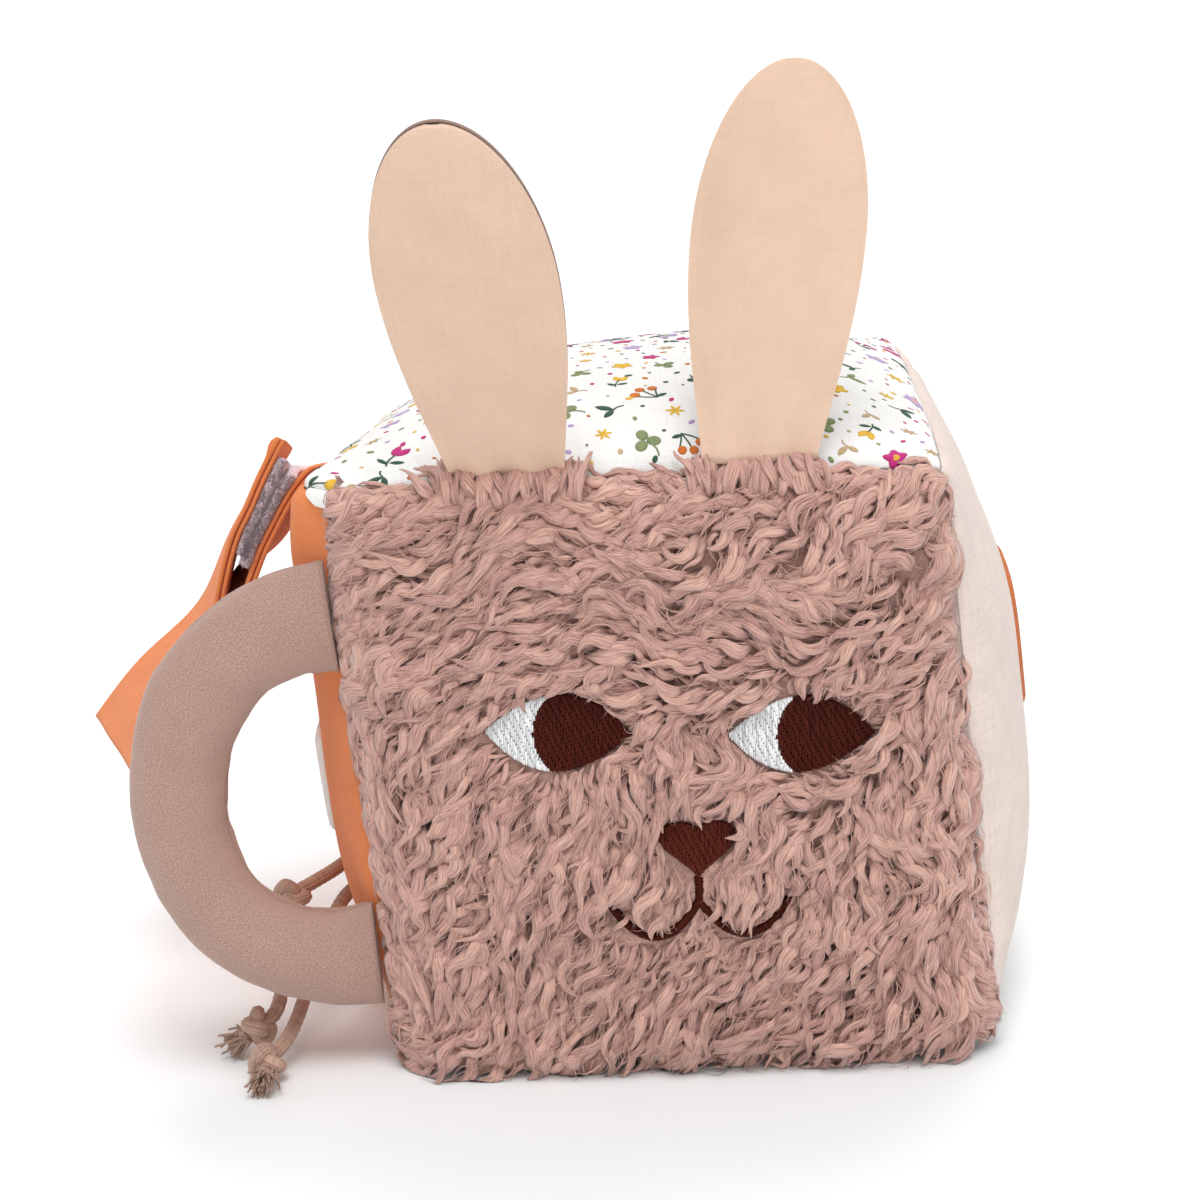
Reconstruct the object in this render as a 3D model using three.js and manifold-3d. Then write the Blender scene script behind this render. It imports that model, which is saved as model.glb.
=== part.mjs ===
// Soft activity block for a baby: a stuffed cloth cube with a plush rabbit face, two crinkle ears,
// a stuffed grab handle, a folding side flap and knotted cords.
// Units are millimetres and +Z is up. The face looks along -Y. The origin lies on the ground,
// in the middle of the flat patch that the block stands on.
import * as THREE from 'three';
import { mergeVertices } from 'three/addons/utils/BufferGeometryUtils.js';
import Module from 'manifold-3d';

const wasm = await Module();
wasm.setup();

// Shared clearances and cloth
const clearance = 0.35;
const clothThickness = 1.3;
const cutOverrun = 40;
const weldDistance = 1e-5;

// Cloth block, measured between its seams
const blockWidth = 138;
const blockDepth = 134;
const blockHeight = 134;
const seamRise = 4.5;
const edgeRadius = 5;
const leftSwell = 15;
const rightSwell = 17;
const topSwell = 16.5;
const frontSwell = 10;
const backSwell = 15;
const leftShoulder = { swell: 8, start: 2.8, run: 12, place: -57, spread: 30 };
const flattening = 0.5;
const leanShare = 0.06;
const sagShare = 0.15;
const topTwist = 6.5;
const swellPower = 3;
const basePower = 6;

// Plush face
const pileThickness = 8;
const pileRimShare = 0.3;
const pileSkirtShare = 0.95;
const embroideryThickness = 3;
const pileCutMargin = 0.4;

// Eyes: the same almond on both sides, with the pupils looking to the rabbit's left
const eyeWidth = 32;
const eyeHeight = 17.5;
const eyeSlant = 2.5;
const eyeSpacing = 53;
const eyeRise = 83;
const eyeTiltShare = -0.05;
const faceShift = -0.95;
const pupilRadius = 11.3;
const pupilShift = 6;

// Heart nose and stitched mouth
const noseWidth = 17;
const noseHeight = 13.5;
const noseRise = 49.5;
const noseShift = 2;
const noseShares = {
  notch: 0.14, shoulder: 0.72, flank: 0.28, belly: 0.25, tip: 0.3, lobe: 0.35, crown: 0.08,
};
const philtrumLength = 5.5;
const mouthWidth = 40;
const mouthDrop = 8.5;
const stitchWidth = 2;

// Ears
const leftEarLength = 88;
const rightEarLength = 86;
const earWidth = 38;
const earBaseWidth = 25;
const earTipWidth = 2.6;
const earPuff = 3.2;
const crinkleRimThickness = 0.26;
const earWidestShare = 0.56;
const earBasePuffShare = 0.12;
const earBaseTaperShare = 0.4;
const earTipTaperShare = 0.25;
const earTopShare = 0.985;
const earFlarePower = 1.15;
const earSpacing = 54.9;
const earMiddle = -8.45;
const earSetback = 0.7;
const leftEarFold = 26;
const rightEarFold = -8;
const leftEarSplay = 5;
const rightEarSplay = 7;

// Grab handle
const handleRadius = 39;
const handleSag = 6.8;
const handleSagTurn = 228;
const handleSagSpread = 42;
const handleBand = 22.5;
const handleThickness = 15;
const handleEndThickness = 4.2;
const handleRise = 70.5;
const handleReach = 0.9;
const handleSeamOffset = 1;
const handleTaperShare = 0.38;
const handleEndFlareShare = 0.14;
const handleTaperPower = 1.4;

// Folding side flap: two doubled leaves, joined at the fold
const flapFront = -35;
const flapBack = 20;
const flapHingeFront = { out: 12.6, rise: 136 };
const flapHingeBack = { out: 8.6, rise: 133 };
const flapFoldFront = { out: 59, rise: 62.5 };
const flapFoldBack = { out: 80.5, rise: 59 };
const flapOpening = 6.5;
const flapFoldGap = 0.6;
const leafClothThickness = 1.1;
const flapLip = 5.5;
const flapDroop = { out: 7.5, fall: 3 };
const innerArch = { height: 4.9, riseShare: 0.05, peelShare: 0.5, fallShare: 0.55 };
const outerArch = { height: 1, power: 0.6 };
const flapPeelShare = 0.3;
const leafCurl = { depth: 3.5, startShare: 0.25, riseShare: 0.3, endShare: 0.6 };
const leafDent = { depth: 5, placeShare: 0.53, spreadShare: 0.2 };
const flapTapeThickness = 0.85;

// Hook-and-loop tapes
const tapeWidth = 25;
const tapeThickness = 1.2;
const tapeMargin = 4;

// Patches sewn to the sides
const sidePatch = {
  width: 40, height: 27, rise: 57, along: -8, thickness: 2.2, rim: 0.9, cornerPower: 6, crownPower: 4,
};
const sideTape = { width: 44, height: 20, rise: 116, along: -19 };
const applique = { radius: 20, rise: 80.5, along: 4.5, thickness: 1 };

// Cords and knots
const cordDiameter = 3.3;
const eyeletDiameter = 7.6;
const eyeletThickness = 1.3;
const knotDiameter = 9.2;
const frayLength = 6.5;
const frayDiameter = 5.5;
const knotTilt = 72;
const knotTurn = 90;

// Rattle capsule in the middle of the stuffing
const rattleDiameter = 32;
const rattleWall = 1.6;
const rattleLip = 2;
const rattleBallDiameter = 11;

// Facets of the round and swollen forms
const numbersPerPoint = 3;
const embroideryDivisions = { eye: 8, nose: 5, arc: 8, straight: 1 };
const patchSteps = { patch: 6, tapeColumns: 5, tapeRows: 4, eyelet: 4 };
const earRows = 10;
const earColumns = 6;
const handleRings = 14;
const handleAroundSteps = 5;
const leafTapeRows = 4;
const leafLowRows = 5;
const leafTapeColumns = 5;
const cordSides = 8;
const knotSides = { core: 6, coreRows: 4, wrap: 5, wrapSteps: 8, fray: 7 };
const rattleSides = { pocket: 14, pocketRows: 8, shell: 12, arcSteps: 4, ball: 10, ballRows: 6 };

const halfWidth = blockWidth / 2;
const halfDepth = blockDepth / 2;
const halfHeight = blockHeight / 2;
const middleRise = seamRise + halfHeight;
const stuffingDepth = clothThickness + clearance;

const colours = {
  plush: 0xb4907f,
  plushBacking: 0x8f6f63,
  beige: 0xe6c9a8,
  taupe: 0xb0917f,
  orange: 0xe58a52,
  cream: 0xe9dfd6,
  print: 0xf6f4f0,
  terracotta: 0xc4683a,
  sage: 0x6c7361,
  lilac: 0xbcaebe,
  cord: 0x9a7a6c,
  brown: 0x48221a,
  white: 0xf4f3f1,
  stuffing: 0xf7f6f2,
  plastic: 0xe8e6df,
};

const degree = Math.PI / 180;
const model = new THREE.Group();

function cloth(colour) {
  return new THREE.MeshStandardMaterial({ color: colour, roughness: 0.9, metalness: 0 });
}

function plastic(colour) {
  return new THREE.MeshStandardMaterial({ color: colour, roughness: 0.35, metalness: 0 });
}

function addPiece(name, geometry, material) {
  const mesh = new THREE.Mesh(geometry, material);
  mesh.name = name;
  model.add(mesh);
  return mesh;
}

// Mesh helpers

function facingOut(positions, triangles) {
  let volume = 0;
  for (const [a, b, c] of triangles) {
    const spread = new THREE.Vector3().crossVectors(positions[b], positions[c]);
    volume += positions[a].dot(spread);
  }
  const ordered = volume < 0 ? triangles.map(([a, b, c]) => [a, c, b]) : triangles;
  const geometry = new THREE.BufferGeometry();
  const values = positions.flatMap((point) => [point.x, point.y, point.z]);
  geometry.setAttribute('position', new THREE.Float32BufferAttribute(values, numbersPerPoint));
  geometry.setIndex(ordered.flat());
  geometry.computeVertexNormals();
  return geometry;
}

function toSolid(geometry) {
  const bare = new THREE.BufferGeometry();
  bare.setAttribute('position', geometry.getAttribute('position').clone());
  bare.setIndex(geometry.getIndex());
  const merged = mergeVertices(bare, weldDistance);
  return new wasm.Manifold(new wasm.Mesh({
    numProp: numbersPerPoint,
    vertProperties: new Float32Array(merged.getAttribute('position').array),
    triVerts: new Uint32Array(merged.getIndex().array),
  }));
}

function toGeometry(solid) {
  const mesh = solid.getMesh();
  const geometry = new THREE.BufferGeometry();
  const position = new THREE.Float32BufferAttribute(mesh.vertProperties, numbersPerPoint);
  geometry.setAttribute('position', position);
  geometry.setIndex(Array.from(mesh.triVerts));
  geometry.computeVertexNormals();
  return geometry;
}

// A thin closed solid between two surfaces that are given point by point on one grid
function closedSheet(rows, columns, outerPoint, innerPoint) {
  const positions = [];
  const triangles = [];
  const layerSize = (rows + 1) * (columns + 1);
  for (const surface of [outerPoint, innerPoint]) {
    for (let row = 0; row <= rows; row += 1) {
      for (let column = 0; column <= columns; column += 1) {
        positions.push(surface(row, column));
      }
    }
  }
  const at = (row, column, layer) => layer * layerSize + row * (columns + 1) + column;
  const addQuad = (a, b, c, d) => triangles.push([a, b, c], [a, c, d]);
  for (let row = 0; row < rows; row += 1) {
    for (let column = 0; column < columns; column += 1) {
      addQuad(at(row, column, 0), at(row, column + 1, 0), at(row + 1, column + 1, 0), at(row + 1, column, 0));
      addQuad(at(row, column, 1), at(row + 1, column, 1), at(row + 1, column + 1, 1), at(row, column + 1, 1));
    }
  }
  for (let row = 0; row < rows; row += 1) {
    addQuad(at(row, 0, 0), at(row + 1, 0, 0), at(row + 1, 0, 1), at(row, 0, 1));
    addQuad(at(row, columns, 0), at(row, columns, 1), at(row + 1, columns, 1), at(row + 1, columns, 0));
  }
  for (let column = 0; column < columns; column += 1) {
    addQuad(at(0, column, 0), at(0, column, 1), at(0, column + 1, 1), at(0, column + 1, 0));
    addQuad(at(rows, column, 0), at(rows, column + 1, 0), at(rows, column + 1, 1), at(rows, column, 1));
  }
  return facingOut(positions, triangles);
}

// A closed solid through a row of rings, with a fan over each end
function closedTube(rings) {
  const sides = rings[0].length;
  const positions = rings.flat();
  const triangles = [];
  for (let ring = 0; ring + 1 < rings.length; ring += 1) {
    for (let side = 0; side < sides; side += 1) {
      const next = (side + 1) % sides;
      const near = ring * sides;
      const far = near + sides;
      triangles.push([near + side, near + next, far + next], [near + side, far + next, far + side]);
    }
  }
  for (const [ring, turned] of [[0, false], [rings.length - 1, true]]) {
    const middle = new THREE.Vector3();
    rings[ring].forEach((point) => middle.addScaledVector(point, 1 / sides));
    const hub = positions.push(middle) - 1;
    for (let side = 0; side < sides; side += 1) {
      const near = ring * sides + side;
      const next = ring * sides + ((side + 1) % sides);
      triangles.push(turned ? [hub, near, next] : [hub, next, near]);
    }
  }
  return facingOut(positions, triangles);
}

// Stuffed shape of the block: each face swells from its seams, and the base settles flat

function swellLeft(share, power) {
  return 1 - Math.min(Math.abs(share), 1) ** power;
}

// A share kept between 0 and 1, with a soft start and end
function smoothShare(share) {
  const kept = Math.min(Math.max(share, 0), 1);
  return kept * kept * (3 - 2 * kept);
}

// The left side's top corner fills out just behind the face, and less towards the back and the base
function shoulderSwell(across, along, up) {
  const behind = smoothShare((along + halfDepth - leftShoulder.start) / leftShoulder.run);
  const faded = Math.exp(-(((along - leftShoulder.place) / leftShoulder.spread) ** 2));
  return leftShoulder.swell * Math.min(across, 0) * behind * faded * smoothShare(up);
}

function soften(point, depth) {
  const across = point.x / halfWidth;
  const along = point.y / halfDepth;
  const up = point.z / halfHeight;
  const sideSwell = across < 0 ? leftSwell : rightSwell;
  const faceSwell = along < 0 ? frontSwell : backSwell;
  const power = up < 0 ? basePower : swellPower;
  const riseSwell = up < 0 ? seamRise + flattening : topSwell;
  const sag = 1 - sagShare * up;
  const swollen = new THREE.Vector3(
    point.x + sideSwell * across * swellLeft(along, swellPower) * swellLeft(up, swellPower) * sag,
    point.y + faceSwell * along * swellLeft(across, swellPower) * swellLeft(up, swellPower),
    point.z + riseSwell * up * swellLeft(across, power) * swellLeft(along, power) + middleRise,
  );
  swollen.x += shoulderSwell(across, point.y, up);
  swollen.z += topTwist * across * ((1 + along) / 2) * Math.max(up, 0);
  swollen.z = Math.max(swollen.z, depth, 0);
  swollen.x -= leanShare * swollen.z;
  return swollen;
}

const faces = {
  front: { out: [0, -1, 0], side: [1, 0, 0], rise: [0, 0, 1], halves: [halfDepth, halfWidth, halfHeight] },
  back: { out: [0, 1, 0], side: [1, 0, 0], rise: [0, 0, 1], halves: [halfDepth, halfWidth, halfHeight] },
  left: { out: [-1, 0, 0], side: [0, 1, 0], rise: [0, 0, 1], halves: [halfWidth, halfDepth, halfHeight] },
  right: { out: [1, 0, 0], side: [0, 1, 0], rise: [0, 0, 1], halves: [halfWidth, halfDepth, halfHeight] },
  top: { out: [0, 0, 1], side: [1, 0, 0], rise: [0, 1, 0], halves: [halfHeight, halfWidth, halfDepth] },
  bottom: { out: [0, 0, -1], side: [1, 0, 0], rise: [0, 1, 0], halves: [halfHeight, halfWidth, halfDepth] },
};

// Steps from seam to seam over one face: flat shares of the middle, then the turn round each edge
const middleShares = [0, 0.45, 0.8, 1];
const edgeShares = [0.5, 1];

function stepsAcross() {
  const half = [];
  middleShares.forEach((share) => half.push({ flatShare: share, turnShare: 0 }));
  edgeShares.forEach((share) => half.push({ flatShare: 1, turnShare: share }));
  const mirrored = half.slice(1).reverse();
  const other = mirrored.map((step) => ({ flatShare: -step.flatShare, turnShare: -step.turnShare }));
  return other.concat(half);
}

const panelSteps = stepsAcross();
const panelCount = panelSteps.length - 1;

// A point on or under a face's cloth, before and after the stuffing swells it
function facePoint(face, sideStep, riseStep, depth, fullTurn) {
  const [halfOut, halfSide, halfRise] = face.halves;
  const sideTan = Math.tan(sideStep.turnShare * fullTurn);
  const riseTan = Math.tan(riseStep.turnShare * fullTurn);
  const lean = new THREE.Vector3(1, sideTan, riseTan).normalize().multiplyScalar(edgeRadius - depth);
  const outward = halfOut - edgeRadius + lean.x;
  const sideways = sideStep.flatShare * (halfSide - edgeRadius) + lean.y;
  const upward = riseStep.flatShare * (halfRise - edgeRadius) + lean.z;
  const point = new THREE.Vector3();
  point.addScaledVector(new THREE.Vector3(...face.out), outward);
  point.addScaledVector(new THREE.Vector3(...face.side), sideways);
  point.addScaledVector(new THREE.Vector3(...face.rise), upward);
  return soften(point, depth);
}

// The turn at which two neighbouring panels still leave the seam's clearance between them
const cornerTurn = Math.PI / 4;
const seamTurn = cornerTurn - clearance / 2 / (edgeRadius - clothThickness);

function facePanel(face, outerDepth, innerDepth) {
  const surface = (depth) => (row, column) => facePoint(
    face, panelSteps[column], panelSteps[row], depth(panelSteps[row], panelSteps[column]), seamTurn,
  );
  return closedSheet(panelCount, panelCount, surface(outerDepth), surface(innerDepth));
}

function constantDepth(depth) {
  return () => depth;
}

// Stuffing in two layers round the rattle

function fullBlockSurface(depth) {
  const positions = [];
  const indices = [];
  for (const face of Object.values(faces)) {
    const start = positions.length / numbersPerPoint;
    for (const riseStep of panelSteps) {
      for (const sideStep of panelSteps) {
        positions.push(...facePoint(face, sideStep, riseStep, depth, cornerTurn).toArray());
      }
    }
    const handed = new THREE.Vector3(...face.side).cross(new THREE.Vector3(...face.rise));
    const outward = handed.dot(new THREE.Vector3(...face.out)) > 0;
    const stride = panelCount + 1;
    for (let row = 0; row < panelCount; row += 1) {
      for (let column = 0; column < panelCount; column += 1) {
        const a = start + row * stride + column;
        const b = a + 1;
        const c = b + stride;
        const d = a + stride;
        indices.push(...(outward ? [a, b, c, a, c, d] : [a, c, b, a, d, c]));
      }
    }
  }
  const geometry = new THREE.BufferGeometry();
  geometry.setAttribute('position', new THREE.Float32BufferAttribute(positions, numbersPerPoint));
  geometry.setIndex(indices);
  return geometry;
}

function slabBetween(lowest, highest) {
  const size = blockWidth + cutOverrun;
  const box = new THREE.BoxGeometry(size, size, highest - lowest);
  box.translate(0, 0, (lowest + highest) / 2);
  return toSolid(box);
}

const rattleCentre = new THREE.Vector3(-leanShare * middleRise, 0, middleRise);
const rattleRadius = rattleDiameter / 2;

function addStuffing() {
  const whole = toSolid(fullBlockSurface(stuffingDepth));
  const pocketRadius = rattleRadius + clearance * 2;
  const pocket = new THREE.SphereGeometry(pocketRadius, rattleSides.pocket, rattleSides.pocketRows);
  pocket.rotateX(Math.PI / 2);
  pocket.translate(...rattleCentre.toArray());
  const hollowed = whole.subtract(toSolid(pocket));
  const halfGap = clearance / 2;
  const lower = hollowed.intersect(slabBetween(-cutOverrun, middleRise - halfGap));
  const upper = hollowed.intersect(slabBetween(middleRise + halfGap, blockHeight + cutOverrun));
  addPiece('stuffing_lower', toGeometry(lower), cloth(colours.stuffing));
  addPiece('stuffing_upper', toGeometry(upper), cloth(colours.stuffing));
}

// Rattle: two shells with a stepped joint, and a ball that rolls inside

function shellArc(radius, fromShare, toShare) {
  const points = [];
  for (let step = 0; step <= rattleSides.arcSteps; step += 1) {
    const share = fromShare + ((toShare - fromShare) * step) / rattleSides.arcSteps;
    const angle = (share * Math.PI) / 2;
    points.push(new THREE.Vector2(radius * Math.cos(angle), radius * Math.sin(angle)));
  }
  return points;
}

function addRattle() {
  const innerRadius = rattleRadius - rattleWall;
  const lipRadius = rattleRadius - rattleWall / 2;
  const lipGap = clearance / 2;
  const halfGap = clearance / 2;
  const lipInner = Math.sqrt(innerRadius ** 2 - rattleLip ** 2);
  const lipTurn = Math.asin(rattleLip / innerRadius) / (Math.PI / 2);
  const lowerProfile = [
    ...shellArc(rattleRadius, -1, 0).map((point) => new THREE.Vector2(point.x, point.y - halfGap)),
    new THREE.Vector2(lipRadius - lipGap, -halfGap),
    new THREE.Vector2(lipRadius - lipGap, rattleLip - clearance),
    new THREE.Vector2(lipInner, rattleLip - clearance),
    ...shellArc(innerRadius, 0, -1),
  ];
  lowerProfile[0].x = 0;
  lowerProfile[lowerProfile.length - 1].x = 0;
  const upperProfile = [
    ...shellArc(innerRadius, 1, lipTurn),
    new THREE.Vector2(lipRadius + lipGap, rattleLip),
    new THREE.Vector2(lipRadius + lipGap, halfGap),
    ...shellArc(rattleRadius, 0, 1).map((point) => new THREE.Vector2(point.x, point.y + halfGap)),
  ];
  upperProfile[0].x = 0;
  upperProfile[upperProfile.length - 1].x = 0;
  const profiles = { rattle_shell_lower: lowerProfile, rattle_shell_upper: upperProfile };
  for (const [name, profile] of Object.entries(profiles)) {
    const shell = new THREE.LatheGeometry(profile, rattleSides.shell);
    shell.rotateX(Math.PI / 2);
    shell.translate(...rattleCentre.toArray());
    addPiece(name, toGeometry(toSolid(shell)), plastic(colours.plastic));
  }
  const ballRadius = rattleBallDiameter / 2;
  const ball = new THREE.SphereGeometry(ballRadius, rattleSides.ball, rattleSides.ballRows);
  ball.rotateX(Math.PI / 2);
  const drop = innerRadius - ballRadius - clearance;
  ball.translate(rattleCentre.x, rattleCentre.y, rattleCentre.z - drop);
  addPiece('rattle_ball', toGeometry(toSolid(ball)), plastic(colours.plastic));
}

// Face: backing cloth, embroidered features and the pile that is left open round them

function prism(shape, divisions) {
  const reach = halfDepth + cutOverrun;
  const options = { depth: reach, bevelEnabled: false, curveSegments: divisions };
  const body = new THREE.ExtrudeGeometry(shape, options);
  body.rotateX(Math.PI / 2);
  return toSolid(body);
}

function eyeLevel(across) {
  return eyeRise + eyeTiltShare * across;
}

// An almond with a point at each end, grown by a margin
function eyeOutline(middle, margin) {
  const reach = eyeWidth / 2 + margin * 2;
  const half = eyeHeight + margin * 2;
  const left = eyeLevel(middle - reach);
  const right = eyeLevel(middle + reach);
  const level = eyeLevel(middle);
  const shape = new THREE.Shape();
  shape.moveTo(middle - reach, left);
  shape.quadraticCurveTo(middle + eyeSlant, level + half, middle + reach, right);
  shape.quadraticCurveTo(middle - eyeSlant, level - half, middle - reach, left);
  return shape;
}

function discOutline(middle, rise, radius) {
  const shape = new THREE.Shape();
  shape.absarc(middle, rise, radius, 0, Math.PI * 2, false);
  return shape;
}

// A heart with two lobes and its point down
function noseOutline(margin) {
  const half = noseWidth / 2 + margin;
  const point = noseRise - margin * 2;
  const top = noseRise + noseHeight + margin;
  const notch = top - noseHeight * noseShares.notch - margin / 2;
  const crown = top + noseHeight * noseShares.crown;
  const shoulder = noseRise + noseHeight * noseShares.shoulder;
  const belly = shoulder - noseHeight * noseShares.belly;
  const flank = point + noseHeight * noseShares.flank;
  const tipReach = half * noseShares.tip;
  const lobeReach = half * noseShares.lobe;
  const right = noseShift + half;
  const left = noseShift - half;
  const shape = new THREE.Shape();
  shape.moveTo(noseShift, point);
  shape.bezierCurveTo(noseShift + tipReach, flank, right, belly, right, shoulder);
  shape.bezierCurveTo(right, top, noseShift + lobeReach, crown, noseShift, notch);
  shape.bezierCurveTo(noseShift - lobeReach, crown, left, top, left, shoulder);
  shape.bezierCurveTo(left, belly, noseShift - tipReach, flank, noseShift, point);
  return shape;
}

// One stitched line of a given width along a curve
function strokeOutline(curve, width, divisions) {
  const left = [];
  const right = [];
  for (let step = 0; step <= divisions; step += 1) {
    const share = step / divisions;
    const point = curve.getPoint(share);
    const along = curve.getTangent(share);
    const offset = new THREE.Vector2(-along.y, along.x).multiplyScalar(width / 2);
    left.push(point.clone().add(offset));
    right.push(point.clone().sub(offset));
  }
  return new THREE.Shape(left.concat(right.reverse()));
}

function mouthPrisms(margin) {
  const width = stitchWidth + margin * 2;
  const fork = noseRise - philtrumLength;
  const reach = mouthWidth / 2 + margin;
  const philtrum = new THREE.LineCurve(
    new THREE.Vector2(noseShift, noseRise - clearance + margin * 2),
    new THREE.Vector2(noseShift, fork - stitchWidth / 2),
  );
  const { straight } = embroideryDivisions;
  const solids = [prism(strokeOutline(philtrum, width, straight), straight)];
  for (const side of [-1, 1]) {
    const arc = new THREE.QuadraticBezierCurve(
      new THREE.Vector2(noseShift, fork),
      new THREE.Vector2(noseShift + (side * reach) / 2, fork - mouthDrop * 2),
      new THREE.Vector2(noseShift + side * reach, fork),
    );
    solids.push(prism(strokeOutline(arc, width, embroideryDivisions.arc), straight));
  }
  return solids.reduce((joined, solid) => joined.add(solid));
}

const eyeMiddles = { left: faceShift - eyeSpacing / 2, right: faceShift + eyeSpacing / 2 };

function addFace() {
  const front = faces.front;
  const backing = facePanel(front, constantDepth(0), constantDepth(clothThickness));
  addPiece('front_backing', backing, cloth(colours.plushBacking));

  const lowest = -clearance;
  const highest = -clearance - embroideryThickness;
  const layer = toSolid(facePanel(front, constantDepth(highest), constantDepth(lowest)));
  const divisions = embroideryDivisions;
  const openings = [];
  for (const [side, middle] of Object.entries(eyeMiddles)) {
    const almond = prism(eyeOutline(middle, 0), divisions.eye);
    const pupilMiddle = middle + pupilShift;
    const pupilLevel = eyeLevel(pupilMiddle);
    const disc = prism(discOutline(pupilMiddle, pupilLevel, pupilRadius), divisions.eye);
    const ring = prism(discOutline(pupilMiddle, pupilLevel, pupilRadius + clearance), divisions.eye);
    const pupil = layer.intersect(almond).intersect(disc);
    const white = layer.intersect(almond).subtract(ring);
    addPiece(`eye_white_${side}`, toGeometry(largestPart(white)), cloth(colours.white));
    addPiece(`eye_pupil_${side}`, toGeometry(pupil), cloth(colours.brown));
    openings.push(prism(eyeOutline(middle, pileCutMargin), divisions.eye));
  }
  const nose = layer.intersect(prism(noseOutline(0), divisions.nose));
  addPiece('nose_embroidery', toGeometry(nose), cloth(colours.brown));
  openings.push(prism(noseOutline(pileCutMargin), divisions.nose));
  addPiece('mouth_stitching', toGeometry(layer.intersect(mouthPrisms(0))), cloth(colours.brown));
  openings.push(mouthPrisms(pileCutMargin));

  const pileDepth = (riseStep, sideStep) => {
    const sideTurn = Math.abs(sideStep.turnShare);
    const rimFall = (1 - pileRimShare) * Math.max(sideTurn, riseStep.turnShare);
    const skirtFall = (1 - pileSkirtShare) * Math.max(-riseStep.turnShare, 0);
    return -clearance - pileThickness * (1 - Math.max(rimFall, skirtFall));
  };
  let pile = toSolid(facePanel(front, pileDepth, constantDepth(lowest)));
  openings.forEach((opening) => {
    pile = pile.subtract(opening);
  });
  addPiece('front_pile', toGeometry(largestPart(pile)), cloth(colours.plush));
}

function addPanels() {
  const panels = {
    top: colours.print, left: colours.orange, right: colours.cream, back: colours.taupe, bottom: colours.sage,
  };
  for (const [name, colour] of Object.entries(panels)) {
    const panel = facePanel(faces[name], constantDepth(0), constantDepth(clothThickness));
    addPiece(`${name}_panel`, panel, cloth(colour));
  }
}

// Sewn-on patches that follow the swell of a side and seat on its cloth

const clothSeat = toSolid(fullBlockSurface(-clearance));

function patchSolid(face, columns, rows, outlinePoint, thicknessAt) {
  const [halfOut] = face.halves;
  const place = (row, column, depth) => {
    const [side, rise] = outlinePoint(row / rows, column / columns);
    const point = new THREE.Vector3();
    point.addScaledVector(new THREE.Vector3(...face.out), halfOut - depth);
    point.addScaledVector(new THREE.Vector3(...face.side), side);
    point.addScaledVector(new THREE.Vector3(...face.rise), rise - middleRise);
    return soften(point, depth);
  };
  const outer = (row, column) => place(row, column, -clearance - thicknessAt(row / rows, column / columns));
  const inner = (row, column) => place(row, column, clothThickness);
  return toSolid(closedSheet(rows, columns, outer, inner));
}

function largestPart(solid) {
  return solid.decompose().sort((a, b) => b.volume() - a.volume())[0];
}

function seatedPatch(face, columns, rows, outlinePoint, thicknessAt) {
  const patch = patchSolid(face, columns, rows, outlinePoint, thicknessAt);
  return toGeometry(largestPart(patch.subtract(clothSeat)));
}

// A rounded outline's point for shares from 0 to 1 in both directions: power 2 makes it round
function roundedPlace(share, other, half, power) {
  const near = share * 2 - 1;
  const far = other * 2 - 1;
  return half * near * (1 - Math.abs(far) ** power / 2) ** (1 / power);
}

function addSidePatches() {
  const patchPoint = (riseShare, sideShare) => [
    sidePatch.along + roundedPlace(sideShare, riseShare, sidePatch.width / 2, sidePatch.cornerPower),
    sidePatch.rise + roundedPlace(riseShare, sideShare, sidePatch.height / 2, sidePatch.cornerPower),
  ];
  const patchPuff = (riseShare, sideShare) => {
    const fall = Math.max(Math.abs(riseShare * 2 - 1), Math.abs(sideShare * 2 - 1));
    return sidePatch.rim + (sidePatch.thickness - sidePatch.rim) * (1 - fall ** sidePatch.crownPower);
  };
  const patch = seatedPatch(faces.left, patchSteps.patch, patchSteps.patch, patchPoint, patchPuff);
  addPiece('side_patch', patch, cloth(colours.white));

  const tapePoint = (riseShare, sideShare) => [
    sideTape.along + sideTape.width * (sideShare - 1 / 2),
    sideTape.rise + sideTape.height * (riseShare - 1 / 2),
  ];
  const tape = seatedPatch(
    faces.left, patchSteps.tapeColumns, patchSteps.tapeRows, tapePoint, () => tapeThickness,
  );
  addPiece('side_loop_tape', tape, cloth(colours.lilac));

  const discPoint = (riseShare, sideShare) => [
    applique.along + roundedPlace(sideShare, riseShare, applique.radius, 2),
    applique.rise + roundedPlace(riseShare, sideShare, applique.radius, 2),
  ];
  const disc = seatedPatch(
    faces.right, patchSteps.patch, patchSteps.patch, discPoint, () => applique.thickness,
  );
  addPiece('right_applique', disc, cloth(colours.terracotta));
}

// Ears: a front and a back cloth, sewn round a crinkle filling

function earHalfWidth(share) {
  const widest = earWidth / 2;
  const base = earBaseWidth / 2;
  if (share < earWidestShare) {
    const climb = share / earWidestShare;
    return base + (widest - base) * Math.sin((climb * Math.PI) / 2) ** earFlarePower;
  }
  const fall = (share - earWidestShare) / (1 - earWidestShare);
  return widest * Math.sqrt(Math.max(1 - fall ** 2, 0));
}

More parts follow.
